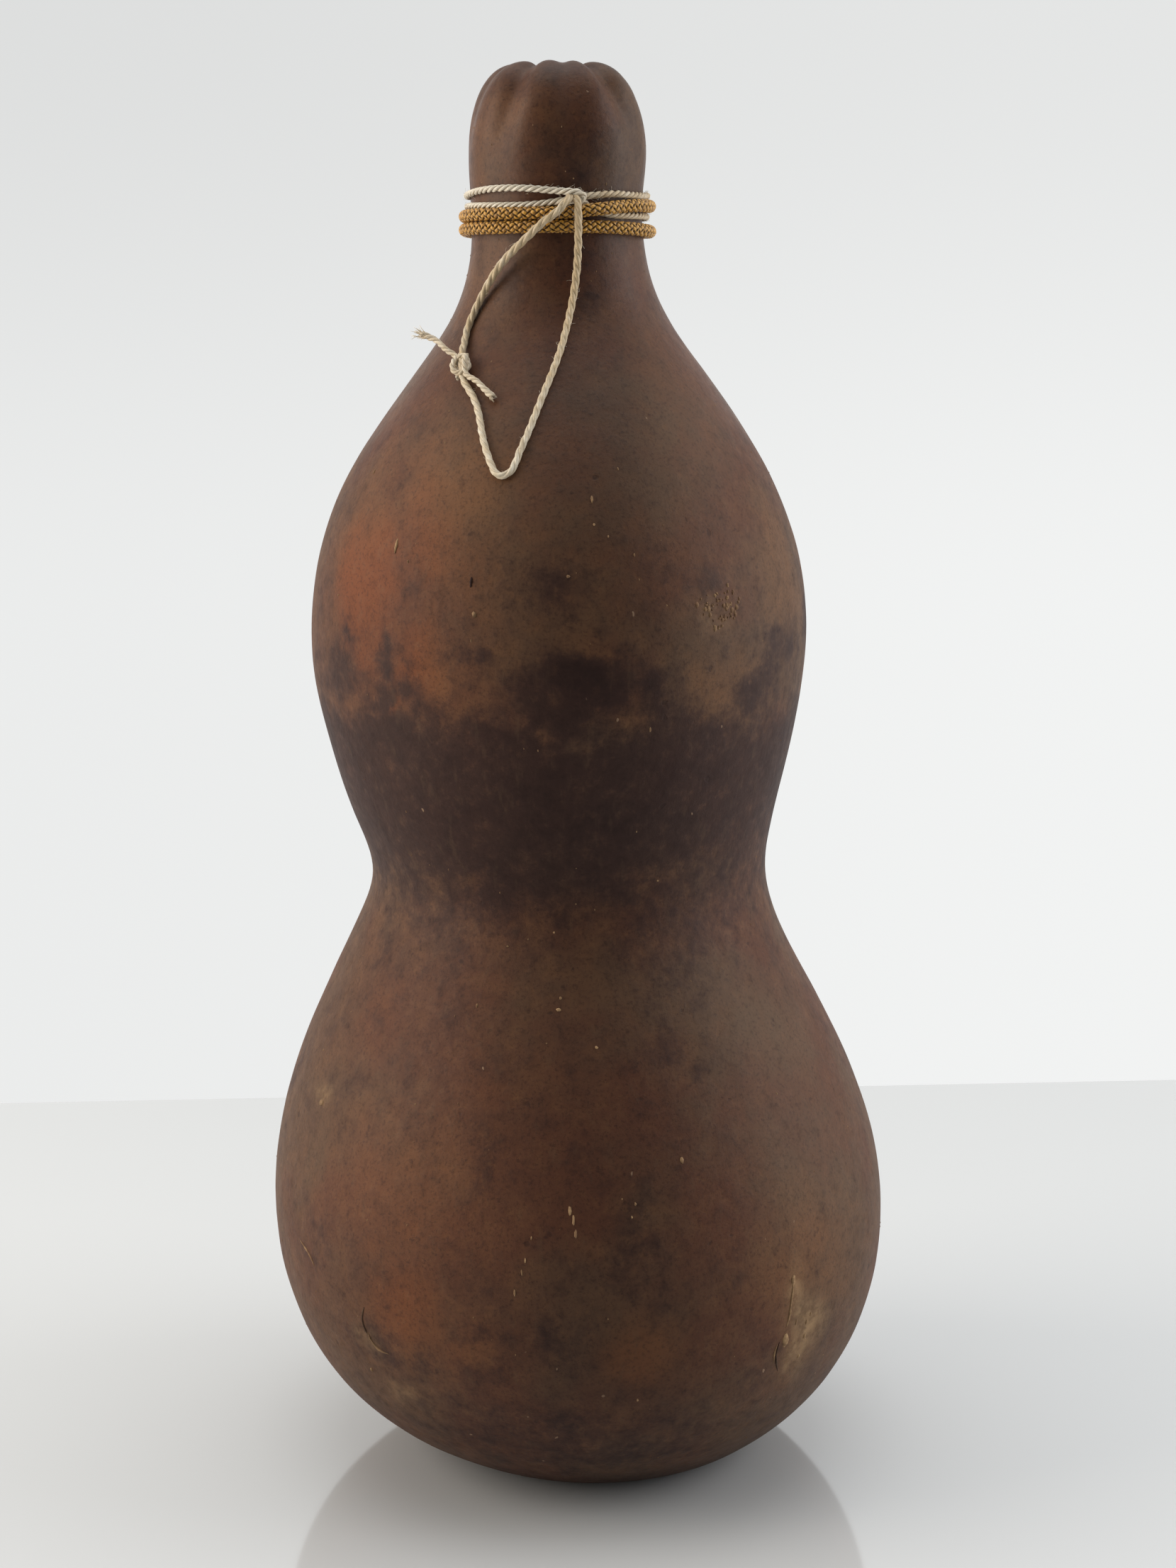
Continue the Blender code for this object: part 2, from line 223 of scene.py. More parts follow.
# Hanging loop: left strand from the hitch to the knot, right strand from the knot to the hitch
LEFT_STRAND = (
    (8.8, 299.5, 1.6),
    (7, 298.9, 3.3),
    (4, 297.6, 4.2),
    (0.4, 296, OVER_GOLD),
    (-5, 294.4, OVER_GOLD),
    (-12.5, 291.8, 4.1),
    (-21, 288.8, 3.6),
    (-32, 285, 2.6),
    (-42, 280.1, 1.6),
    (-48.2, 274.8),
    (-48, 270),
    (-45, 267.2, 1.3),
    (-42, 264.9, 2.1),
)
KNOT_PLACE = (-38.8, 262.4, 2.4)
KNOT_TURN = 28.0
RIGHT_STRAND = (
    (-36.2, 259.9, 2.1),
    (-34.2, 258.3, 1.5),
    (-30.8, 256.3),
    (-25.4, 252),
    (-20.7, 245.7),
    (-18.4, 242.8),
    (-16.4, 240.4),
    (-15.2, 239.5),
    (-13.6, 239.3),
    (-12.2, 239.9),
    (-11.3, 241),
    (-10.3, 243.9),
    (-9.1, 247),
    (-6, 254.5),
    (-3, 260),
    (0.5, 265.4),
    (4.6, 271.8),
    (8.3, 277.8, 1.4),
    (10.6, 284, 3),
    (11.4, 290, 4.3),
    (11.7, 294, 4.6),
    (11.8, 296.8, 4.3),
    (11.6, 298.6, 3.3),
    (11.3, 299.5, 1.6),
)

# Tails of the string's knot
TAIL_OUTWARD = (
    (-47.5, 265.6, 3.8),
    (-54.5, 267.8, 5.4),
    (-60.5, 269.2, 8.2),
)
TAIL_INWARD = (
    (-31, 259.6, 2.4),
    (-25.5, 257.4, 1.9),
    (-21.8, 255.7, 1.5),
)

# Tie of the gold cord at the back, and its two ends from the tie to their tips
TIE_PLACE = (180.0, 295.8, 6.2)
TIE_END_LEFT = (
    (189, 292, 5.7),
    (192.5, 287.5, 4.7),
    (193.6, 283, 3.9),
)
TIE_END_RIGHT = (
    (170.6, 292.5, 6.2),
    (167, 288.6, 5.1),
    (165.2, 284.9, 4.1),
)

# Patches on the skin: azimuth, height, half width, half height in mm, strength.
# Those past 75 degrees are on the sides and the back, which the photo doesn't show.
# Grey patches are olive-grey tone and partly painted sheen. The shade patches are painted shade,
# which darkens whatever colour lies there, and CRUST_PATCHES are pale and corky
OCHRE_PATCHES = (
    (-50.6, 217.5, 13, 19, 1),
    (-30.4, 196.5, 11.5, 9, 0.9),
    (-28, 229, 15, 18, 0.85),
    (4, 205.5, 8, 7, 0.45),
    (15, 187.9, 6.6, 3.8, 0.6),
    (-3.5, 181.2, 2.8, 3.2, 0.6),
    (38.9, 192, 12, 10, 0.58),
    (62, 220, 12, 17, 0.55),
    (-30.7, 150.9, 6.5, 2.4, 0.5),
    (-51.8, 201.3, 6, 3.4, 0.75),
    (-41.8, 187.6, 3.6, 2.6, 0.8),
    (-22.2, 186, 7.5, 4, 0.55),
    (-58, 240, 10, 11, 0.5),
    (-62, 301, 9, 20, 0.38),
    (-35.7, 83.6, 24, 15, 0.55),
    (-40.4, 75, 12, 8, 0.45),
    (-33, 54, 10, 13, 0.75),
    (-20.4, 48.5, 8, 6, 0.5),
    (10.9, 47.5, 11.5, 8, 0.95),
    (44.4, 61.3, 19, 19, 0.65),
    (37.3, 52.1, 6, 7, 0.5),
    (-50.1, 112.1, 12, 13, 0.28),
    (-16, 107.7, 9, 5, 0.35),
    (-62.6, 281, 8, 9, 0.5),
    (-46, 314, 9, 10, 0.45),
    (96, 214, 14, 15, 0.75),
    (136, 226, 16, 11, 0.85),
    (178, 206, 12, 13, 0.75),
    (-141, 221, 15, 16, 0.9),
    (-104, 204, 10, 11, 0.8),
    (102, 72, 20, 17, 0.75),
    (151, 49, 18, 13, 0.8),
    (-157, 83, 22, 16, 0.7),
    (-106, 58, 17, 18, 0.75),
    (165, 104, 14, 10, 0.45),
    (150, 314, 9, 9, 0.45),
    (-150, 250, 12, 9, 0.45),
)
DARK_PATCHES = (
    (-44.5, 200.3, 2.8, 6, 0.75),
    (-41.5, 191, 10.5, 5.6, 0.72),
    (-56.9, 203.8, 5, 3, 0.7),
    (-62, 192, 7, 6, 0.6),
    (-2.1, 217.7, 10, 7.4, 0.62),
    (-9, 222, 5, 4, 0.45),
    (3.8, 194.6, 11.5, 6.4, 1.1),
    (-1, 187, 10, 6, 0.95),
    (19, 194.2, 4, 3.6, 0.95),
    (23, 219, 6.5, 5.4, 0.42),
    (36, 218.4, 8, 5, 0.48),
    (57.5, 198.1, 6.5, 5.6, 0.85),
    (50, 190, 7.5, 5.4, 0.66),
    (-19.9, 199, 3, 2.4, 0.6),
    (-9.6, 194, 6, 3.2, 0.6),
    (42.9, 183.3, 5, 3.4, 0.8),
    (20.6, 162.6, 24, 11, 0.55),
    (-40.2, 44.5, 8.6, 6.6, 0.8),
    (-6, 53, 6.5, 8, 0.7),
    (-19, 46, 8, 12, 0.5),
    (8, 69.9, 11, 14, 0.6),
    (19.8, 111.7, 10, 9, 0.55),
    (29.6, 106.1, 3, 4, 0.8),
    (-23.7, 119.4, 7, 7, 0.5),
    (-56.9, 65, 5.6, 8, 0.6),
    (-31.1, 40, 4.4, 10, 0.6),
    (0, 24, 50, 14, 0.6),
    (-16.6, 92.6, 6.5, 8, 0.45),
    (15, 281, 8, 9, 0.5),
    (11.6, 309, 8, 11, 0.6),
    (78, 206, 6, 5, 0.8),
    (118, 200, 12, 6, 1),
    (158, 192, 12, 8, 1),
    (-164, 204, 7, 8, 0.9),
    (-122, 196, 9, 7, 1),
    (128, 92, 9, 13, 0.6),
    (178, 62, 12, 15, 0.6),
    (-130, 38, 12, 9, 0.65),
    (-84, 92, 8, 12, 0.5),
    (82, 42, 9, 7, 0.6),
)
# Olive-grey tone and painted sheen: the narrow strip at -26 degrees is a painted highlight, and the
# grey on the right of the upper bulb is partly painted sheen
GREY_AND_SHEEN_PATCHES = (
    (56, 108, 20, 12, 0.75),
    (52, 84, 26, 30, 0.55),
    (-58, 81.5, 6, 6, 0.55),
    (45, 46, 5.6, 10, 0.95),
    (-34, 14, 16, 6, 0.6),
    (-26.2, 236.1, 5, 11, 0.3),
    (38.6, 210, 5, 4, 0.35),
    (44, 252, 14, 18, 0.6),
    (12, 240, 44, 34, 0.42),
    (30, 205, 26, 24, 0.3),
    (-20, 222, 16, 22, 0.15),
    (-6, 306, 22, 22, 0.34),
    (150, 128, 18, 12, 0.55),
    (-120, 110, 16, 10, 0.5),
    (-172, 20, 20, 7, 0.5),
)
# Painted shade: darker on the front, most down its middle, where the side lamps reach least, and on
# the head's top and round the foot
PAINTED_SHADE_PATCHES = (
    (6, 96, 24, 46, 0.55),
    (5, 46, 30, 34, 0.6),
    (10, 250, 14, 40, 0.6),
    (10, 205, 16, 34, 0.45),
    (8, 150, 24, 30, 0.35),
    (14, 310, 13, 26, 0.58),
    (21, 284, 8, 14, 0.6),
    (-34, 44, 28, 30, 0.22),
    (-38, 86, 20, 30, 0.17),
    (-18, 26, 18, 18, 0.3),
    (6, 128, 12, 14, 0.52),
    (-50, 200, 13, 12, 0.22),
    (-6, 330, 22, 9, 0.6),
    (-6, 18, 60, 16, 0.5),
    (-6, 3, 60, 11, 0.85),
)
CRUST_PATCHES = (
    (41.5, 52.5, 2.6, 6.5, 0.55),
    (44, 45.5, 3.6, 6.5, 0.62),
    (40, 42, 2.2, 4.5, 0.5),
    (-42.6, 44.6, 3, 3, 0.22),
    (-62, 92, 3, 3.4, 0.35),
    (-36, 31, 5, 3, 0.2),
    (37.6, 211.4, 5.5, 4.2, 0.22),
)
RED_PATCHES = (
    (-42, 118, 26, 18, 0.9),
    (-20, 100, 26, 22, 0.6),
    (-34, 66, 34, 30, 0.7),
    (10, 44, 20, 18, 0.45),
    (-47, 206, 28, 30, 0.95),
    (-56, 262, 12, 22, 0.5),
    (-6, 138, 20, 12, 0.5),
    (130, 60, 40, 30, 0.7),
    (-130, 100, 40, 26, 0.7),
    (170, 220, 30, 20, 0.5),
)

# The dark band round the waist and the lower half of the upper bulb
BAND_TOP = 184.0
BAND_BOTTOM = 140.0
BAND_SOFTNESS = 7.0
BAND_STRENGTH = 1.08
HALO_STRENGTH = 0.30
HALO_RISE = 42.0

# How far noise pushes the patches' edges about, and the size of its features, in mm
WIDE_PUSH = (5.0, 15.0)
FINE_PUSH = (2.2, 5.5)
BAND_PUSH = (5.0, 22.0)


def spline(knots, values, at):
    """Natural cubic spline through rows of values at the knots, read at the places in at."""
    knots = np.asarray(knots, float)
    values = np.asarray(values, float)
    gap = np.diff(knots)
    slope = np.diff(values, axis=0) / gap[:, None]
    matrix = np.eye(len(knots))
    change = np.zeros_like(values)
    for i in range(1, len(knots) - 1):
        matrix[i, i - 1 : i + 2] = gap[i - 1], 2 * (gap[i - 1] + gap[i]), gap[i]
        change[i] = 6 * (slope[i] - slope[i - 1])
    bend = np.linalg.solve(matrix, change)
    i = np.clip(np.searchsorted(knots, at, side="right") - 1, 0, len(knots) - 2)
    h = gap[i][:, None]
    after = (at - knots[i])[:, None] / h
    before = 1 - after
    curve = (before**3 - before) * bend[i] + (after**3 - after) * bend[i + 1]
    return before * values[i] + after * values[i + 1] + curve * h**2 / 6


def running_sum(steps):
    return np.concatenate([[0.0], np.cumsum(steps)])


def chord_lengths(points):
    return running_sum(np.linalg.norm(np.diff(np.asarray(points, float), axis=0), axis=1))


def smoothstep(low, high, value):
    share = np.clip((value - low) / (high - low), 0.0, 1.0)
    return share * share * (3 - 2 * share)


def round_angles(count):
    return np.linspace(0.0, 2 * np.pi, count, endpoint=False)


def unit(vectors):
    return vectors / np.linalg.norm(vectors, axis=-1, keepdims=True)


LATTICE = 40


def lattice_noise(points, size, seed):
    """Smooth random values from -1 to 1 at points in mm, with features about size mm wide."""
    values = np.random.default_rng(seed).uniform(-1, 1, (LATTICE,) * 3)
    place = points / size
    cell = np.floor(place).astype(int)
    part = place - cell
    part = part * part * (3 - 2 * part)
    total = np.zeros(len(points))
    for corner in np.ndindex(2, 2, 2):
        weight = np.prod(np.where(np.array(corner) == 1, part, 1 - part), axis=1)
        i, j, k = ((cell + corner) % LATTICE).T
        total += weight * values[i, j, k]
    return total


OUTLINE_KNOTS = chord_lengths([row[:2] for row in OUTLINE])
SKIN_ROWS = spline(OUTLINE_KNOTS, OUTLINE, np.linspace(0.0, OUTLINE_KNOTS[-1], 1500))
UP_TO_RIM = SKIN_ROWS[: int(np.argmax(SKIN_ROWS[:, 0])) + 1]


def out_of_round(angle, height):
    """Share by which the skin stands out, none at the foot and the neck."""
    bulbs = smoothstep(*OVAL_RISES, height) * (1 - smoothstep(*OVAL_FADES, height))
    return bulbs * (OVAL_SHARE * np.sin(2 * angle) + THREE_SIDED_SHARE * np.cos(3 * angle))


def backward(height):
    return BACKWARD_LEAN * np.sin(np.pi * np.minimum(height / HEIGHT, 1.0))


def around_middle(lean, back, radius, angle, height):
    x = lean + radius * np.sin(angle)
    return np.stack([x, back - radius * np.cos(angle), height + 0.0 * x], axis=-1)


def skin_places(azimuth, height, stand_off):
    """Places in mm at a stand-off from the skin, one row for each azimuth."""
    angle = np.radians(azimuth)
    radius = np.interp(height, UP_TO_RIM[:, 0], UP_TO_RIM[:, 1])
    radius = radius * (1 + out_of_round(angle, height)) + stand_off
    lean = np.interp(height, UP_TO_RIM[:, 0], UP_TO_RIM[:, 2])
    return around_middle(lean, backward(height), radius, angle, height)


def skin_axes(azimuth, height):
    """Directions across, along and outward at a place on the skin."""
    here, beside, above = skin_places(
        np.array([azimuth, azimuth + 0.5, azimuth]), np.array([height, height, height + 0.5]), 0.0
    )
    across = unit(beside - here)
    along = unit(above - here)
    return np.array([across, along, np.cross(across, along)])


def near_furrows(angle, down, half_width):
    """Sum of the furrows' depths, each fading out past a half width in degrees.

    down goes from 0, where the furrows have their azimuth at the rim, to 1, where they fade.
    """
    depth = np.zeros_like(angle)
    for at_rim, at_fade, deepest in FURROWS:
        middle = np.radians(at_rim + (at_fade - at_rim) * down)
        away = np.remainder(angle - middle + np.pi, 2 * np.pi) - np.pi
        depth += deepest * np.exp(-((away / math.radians(half_width)) ** 2))
    return depth


def furrow_depth(angle, height, radius):
    """Depth of the lobes' furrows, fading down the head and into the dimple."""
    fade = smoothstep(FURROW_FADE_HEIGHT, HEIGHT - 5.0, height) * smoothstep(3.0, 8.0, radius)
    down = 1 - smoothstep(FURROW_FADE_HEIGHT, HEIGHT, height)
    return fade * near_furrows(angle, down, FURROW_HALF_WIDTH)


def facet_depth(angle, height):
    fade = smoothstep(*FACET_HEIGHTS, height) * (1 - smoothstep(HEIGHT - 8.0, HEIGHT, height))
    return FACET_DEPTH * fade * near_furrows(angle, 1.0, FACET_HALF_WIDTH)


def add_object(name, data):
    made = bpy.data.objects.new(name, data)
    bpy.context.scene.collection.objects.link(made)
    return made


def add_camera():
    data = bpy.data.cameras.new("camera")
    data.sensor_fit = "VERTICAL"
    data.sensor_height = SENSOR_HEIGHT
    data.lens = FOCAL_PIXELS * SENSOR_HEIGHT / IMAGE_HEIGHT
    data.clip_end = 20.0
    camera = add_object("camera", data)
    camera.location = np.array(CAMERA_PLACE) * MM
    camera.rotation_euler = (math.radians(90.0 - CAMERA_PITCH), 0.0, 0.0)
    bpy.context.scene.camera = camera


# Meshes


class Shape:
    """Points, faces and point attributes of a mesh, gathered part by part, in mm."""

    def __init__(self):
        self.points = []
        self.faces = []
        self.tags = {}
        self.count = 0

    def add(self, points, faces, **tags):
        self.points.append(np.asarray(points, float))
        self.faces += [tuple(int(i) + self.count for i in face) for face in faces]
        for name, values in tags.items():
            self.tags.setdefault(name, []).append(np.asarray(values, float))
        self.count += len(points)

    def build(self, name, material):
        """The object, riding on the root body."""
        mesh = bpy.data.meshes.new(name)
        mesh.from_pydata((np.concatenate(self.points) * MM).tolist(), [], self.faces)
        for tag, parts in self.tags.items():
            values = np.concatenate(parts)
            if values.ndim == 1:
                mesh.attributes.new(tag, "FLOAT", "POINT").data.foreach_set("value", values)
            else:
                layer = mesh.attributes.new(tag, "FLOAT_VECTOR", "POINT")
                layer.data.foreach_set("vector", values.ravel())
        mesh.materials.append(material)
        mesh.shade_smooth()
        mesh.validate()
        made = add_object(name, mesh)
        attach(made, "root")
        return made


def tube_faces(rings, sides, caps=True):
    """Faces of a tube whose rings of points follow one another."""
    faces = []
    for ring in range(rings - 1):
        low = ring * sides
        for side in range(sides):
            after = (side + 1) % sides
            faces.append((low + side, low + after, low + sides + after, low + sides + side))
    if caps:
        faces.append(tuple(range(sides - 1, -1, -1)))
        faces.append(tuple(range((rings - 1) * sides, rings * sides)))
    return faces


def even_points(points, step):
    """Points about step mm apart on a smooth curve through the given ones."""
    knots = chord_lengths(points)
    count = max(4, round(knots[-1] / step) + 1)
    return spline(knots, points, np.linspace(0.0, knots[-1], count))


def full_rows(route, on_skin):
    """The rows of a route, with the given stand-off where a row has none."""
    return np.array([row if len(row) == 3 else (*row, on_skin) for row in route])


def route_points(route, step):
    """A smooth line through a route given on the skin."""
    return even_points(skin_places(*full_rows(route, ON_SHOULDER).T), step)


def wound_points(route, step, least):
    """A smooth line that follows a winding in azimuth, and never goes nearer than least."""
    rows = full_rows(route, least)
    marks = running_sum(np.hypot(NECK_MM_PER_DEGREE * np.diff(rows[:, 0]), np.diff(rows[:, 1])))
    fine = spline(marks, rows, np.linspace(0.0, marks[-1], 1500))
    fine[:, 2] = np.maximum(fine[:, 2], least)
    return even_points(skin_places(*fine.T)[::3], step)


def line_frames(points):
    """Two cross directions at each point of a line, carried along without sudden turns."""
    tangents = unit(np.gradient(points, axis=0))
    side = np.cross(tangents[0], (0.0, 0.0, 1.0))
    if np.linalg.norm(side) < 0.2:
        side = np.cross(tangents[0], (1.0, 0.0, 0.0))
    sides = []
    for tangent in tangents:
        side = side - tangent * np.dot(side, tangent)
        side = side / np.linalg.norm(side)
        sides.append(side)
    sides = np.array(sides)
    return sides, np.cross(tangents, sides)


def circled(angle, first, second):
    """Directions at angles round a line, from its two cross directions."""
    return np.cos(angle)[..., None] * first + np.sin(angle)[..., None] * second


def add_rings(shape, rings, **tags):
    """Adds a tube, given as its rings of points."""
    shape.add(rings.reshape(-1, 3), tube_faces(*rings.shape[:2]), **tags)


def fibre_places(across, up, along):
    """Where each point of a tube lies on its own thread, which the materials' patterns follow."""
    return np.stack(np.broadcast_arrays(across, up, along[:, None]), axis=-1).reshape(-1, 3)


def circle_tube(shape, points, radius, sides, **tags):
    """A plain tube. The radius is one number or one for each of the line's points."""
    first, second = line_frames(points)
    ring = circled(round_angles(sides), first[:, None], second[:, None])
    radii = np.broadcast_to(radius, len(points))[:, None, None]
    count = len(points) * sides
    filled = {name: v if np.ndim(v) == 2 else np.full(count, v) for name, v in tags.items()}
    add_rings(shape, points[:, None] + radii * ring, **filled)


STRING_PLIES = 3
PLY_RADIUS_SHARE = 0.242
PLY_OFFSET_SHARE = 0.262
PLY_SOFTENING = 0.07
PLY_SIDES = 10
STRING_STEP = 0.42


def twisted(shape, points, lay, hue, soft, swell=1.0):
    """The string's plies, laid round one another along a line.

    hue goes from silky white, 0, to tan, 1. soft, up to 1, presses the plies into one
    another, so that the grooves are shallow and the painted shade in them is lighter. swell
    scales the string's thickness.
    """
    ply_radius = STRING_DIAMETER * (PLY_RADIUS_SHARE + PLY_SOFTENING * soft)
    ply_offset = STRING_DIAMETER * (PLY_OFFSET_SHARE - PLY_SOFTENING * soft)
    first, second = line_frames(points)
    along = chord_lengths(points)
    scale = np.broadcast_to(swell, len(points))
    around = round_angles(PLY_SIDES)
    # Painted shade on the inner side of each ply, where the plies meet
    groove = (1 - 0.5 * soft) * smoothstep(0.4, -0.4, np.cos(around))
    for ply in range(STRING_PLIES):
        turn = -2 * np.pi * (along / lay + ply / STRING_PLIES)
        out = circled(turn, first, second)
        side = circled(turn, second, -first)
        middle = points + (ply_offset * scale)[:, None] * out
        radius = (ply_radius * scale)[:, None, None]
        add_rings(
            shape,
            middle[:, None] + radius * circled(around, out[:, None], side[:, None]),
            fibre=fibre_places(np.cos(around) + 7.0 * ply, np.sin(around), along),
            hue=np.repeat(np.broadcast_to(hue, len(points)), PLY_SIDES),
            groove=np.tile(groove, len(points)),
        )


BRAID_STRANDS = 12
BRAID_PITCH = 12.0
BRAID_STEP = 0.16
STRAND_HALF_WIDTH = 0.44
STRAND_HALF_THICKNESS = 0.28
BRAID_WAVE = 0.24

# A strand's outline, across and outward, in its half width and half thickness
STRAND_CORNERS = np.array([(1.0, 0.0), (0.55, 0.8), (-0.55, 0.8), (-1.0, 0.0), (0.0, -1.0)])


def braided(shape, points, diameter):
    """A round braid: half the strands wind each way, over one and under one of the other half."""
    first, second = line_frames(points)
    along = chord_lengths(points)
    mean = diameter / 2 - STRAND_HALF_THICKNESS - BRAID_WAVE
    half = BRAID_STRANDS // 2
    across, outward = STRAND_CORNERS.T
    for way, strand in itertools.product((1, -1), range(half)):
        crossing = 2 * strand + way * 2 * half * along / BRAID_PITCH
        wave = way * BRAID_WAVE * np.cos(np.pi * crossing)
        out = circled(2 * np.pi * (strand / half + way * along / BRAID_PITCH), first, second)
        middle = points + (mean + wave)[:, None] * out
        side = unit(np.cross(unit(np.gradient(middle, axis=0)), out))
        rings = middle[:, None] + (STRAND_HALF_WIDTH * across)[:, None] * side[:, None]
        # How high each strand rides goes to the material, which paints shade on the sunken parts
        add_rings(
            shape,
            rings + (STRAND_HALF_THICKNESS * outward)[:, None] * out[:, None],
            fibre=fibre_places(across, 5.0 * strand + 2.0 * way, along),
            hue=np.repeat(wave / BRAID_WAVE, len(STRAND_CORNERS)),
        )
    # A core inside, painted wholly in the gaps' shade colour
    core = points[::4]
    circle_tube(shape, core, mean - 0.1, 8, hue=-2.0, fibre=np.zeros((8 * len(core), 3)))


# Materials


def new_material(name):
    material = bpy.data.materials.new(name)
    material.use_nodes = True
    tree = material.node_tree
    return material, tree, tree.nodes["Principled BSDF"]


def fill(tree, made, inputs):
    """Gives a node its inputs, by name or number: a socket is linked, another value is set."""
    for key, value in inputs.items():
        if isinstance(value, bpy.types.NodeSocket):
            tree.links.new(value, made.inputs[key])
        else:
            made.inputs[key].default_value = value


def node(tree, kind, inputs, **settings):
    made = tree.nodes.new(kind)
    for name, value in settings.items():
        setattr(made, name, value)
    fill(tree, made, inputs)
    return made


def attribute(tree, name, output="Fac"):
    return node(tree, "ShaderNodeAttribute", {}, attribute_name=name).outputs[output]


def place_from(tree, output):
    return node(tree, "ShaderNodeTexCoord", {}).outputs[output]


def axes_of(tree, vector):
    return node(tree, "ShaderNodeSeparateXYZ", {0: vector}).outputs


def noise(tree, vector, scale, detail=3.0, rough=0.55, output="Fac"):
    inputs = {"Vector": vector, "Scale": scale, "Detail": detail, "Roughness": rough}
    return node(tree, "ShaderNodeTexNoise", inputs).outputs[output]


def math_node(tree, operation, first, second=0.0):
    return node(tree, "ShaderNodeMath", {0: first, 1: second}, operation=operation).outputs[0]


def times(tree, first, second):
    return math_node(tree, "MULTIPLY", first, second)


def plus(tree, first, second):
    return math_node(tree, "ADD", first, second)


def between(tree, value, low, high, to_low=0.0, to_high=1.0):
    """A smooth change from to_low, where the value is low, to to_high, where it is high."""
    inputs = dict(enumerate((value, low, high, to_low, to_high)))
    made = node(tree, "ShaderNodeMapRange", inputs, interpolation_type="SMOOTHSTEP")
    return made.outputs[0]


def mix(tree, share, first, second, blend="MIX"):
    inputs = {0: share, 6: first, 7: second}
    kinds = {"data_type": "RGBA", "blend_type": blend, "clamp_factor": True}
    return node(tree, "ShaderNodeMix", inputs, **kinds).outputs[2]


def tint(tree, ground, colour, value, low, high, most=1.0):
    """The ground, with a colour over it where the value goes from low to high."""
    return mix(tree, between(tree, value, low, high, 0.0, most), ground, colour)


def layered(tree, ground, layers):
    for layer in layers:
        ground = tint(tree, ground, *layer)
    return ground


def stretched(tree, vector, scale):
    """The vector scaled by a different number along each axis."""
    inputs = {0: vector, 1: scale}
    return node(tree, "ShaderNodeVectorMath", inputs, operation="MULTIPLY").outputs[0]


def bump(tree, height, strength, distance, below=None):
    """Relief from a height, on top of the relief below it."""
    inputs = {"Strength": strength, "Distance": distance, "Height": height}
    if below:
        inputs["Normal"] = below
    return node(tree, "ShaderNodeBump", inputs).outputs["Normal"]


def rgb(red, green, blue):
    """A linear colour from the 0 to 255 values that a picture shows."""
    values = [((v / 255 + 0.055) / 1.055) ** 2.4 for v in (red, green, blue)]
    return (*values, 1.0)


RED_BROWN = rgb(90, 57, 41)
WARM_BROWN = rgb(89, 66, 49)
OCHRE = rgb(118, 65, 35)
LIGHT_OCHRE = rgb(115, 80, 53)
DARK_BROWN = rgb(44, 28, 24)
PURPLE_BROWN = rgb(58, 39, 34)
OLIVE_GREY = rgb(97, 75, 56)
CORK = rgb(166, 136, 100)
FLECK = rgb(170, 140, 112)
# The grey that painted shade multiplies the skin's colour by
DEEP_SHADE = (0.42, 0.42, 0.45, 1.0)

# Scattered marks in the skin's colour: kind, strength and colour
SCATTERED = (("pit", 0.45, DARK_BROWN), ("speck", 0.35, DARK_BROWN), ("fleck", 0.55, FLECK))

# How far noise bends the rows of dots, in metres
WARP = 0.0022


def dots(tree, vector, scale, share, radius):
    """Scattered dots, 1 inside and 0 outside, one in the given share of a pattern's cells."""
    made = node(tree, "ShaderNodeTexVoronoi", {"Vector": vector, "Scale": scale})
    drawn = node(tree, "ShaderNodeSeparateColor", {0: made.outputs["Color"]}).outputs
    chosen = math_node(tree, "LESS_THAN", drawn[0], share)
    size = times(tree, between(tree, drawn[1], 0.0, 1.0, 0.45, 1.0), radius)
    inside = math_node(tree, "DIVIDE", made.outputs["Distance"], size)
    return times(tree, between(tree, inside, 1.0, 0.55), chosen)


def scaled(tree, value, middle, share):
    """How far a value is from its middle, times a number."""
    return times(tree, math_node(tree, "SUBTRACT", value, middle), share)


def skin_patterns(tree):
    """The noises and dots of the skin, each from 0 to 1, by name."""
    place = place_from(tree, "Object")
    bends = {0: noise(tree, place, 420.0, 2.0, 0.5, "Color"), 1: (WARP,) * 3, 2: place}
    bent = node(tree, "ShaderNodeVectorMath", bends, operation="MULTIPLY_ADD").outputs[0]
    return {
        "broad": noise(tree, place, 28.0, 4.0),
        "ragged": noise(tree, place, 125.0, 9.0, 0.70),
        "mottle": noise(tree, place, 330.0, 6.0, 0.66),
        "fine": noise(tree, place, 1300.0, 5.0, 0.72),
        "streaks": noise(tree, stretched(tree, place, (1.0, 1.0, 0.22)), 420.0, 3.0, 0.6),
        "pit": dots(tree, bent, 200.0, 0.14, 0.19),
        "speck": dots(tree, bent, 520.0, 0.12, 0.32),
        "fleck": dots(tree, stretched(tree, bent, (1.0, 1.0, 0.6)), 300.0, 0.07, 0.13),
    }


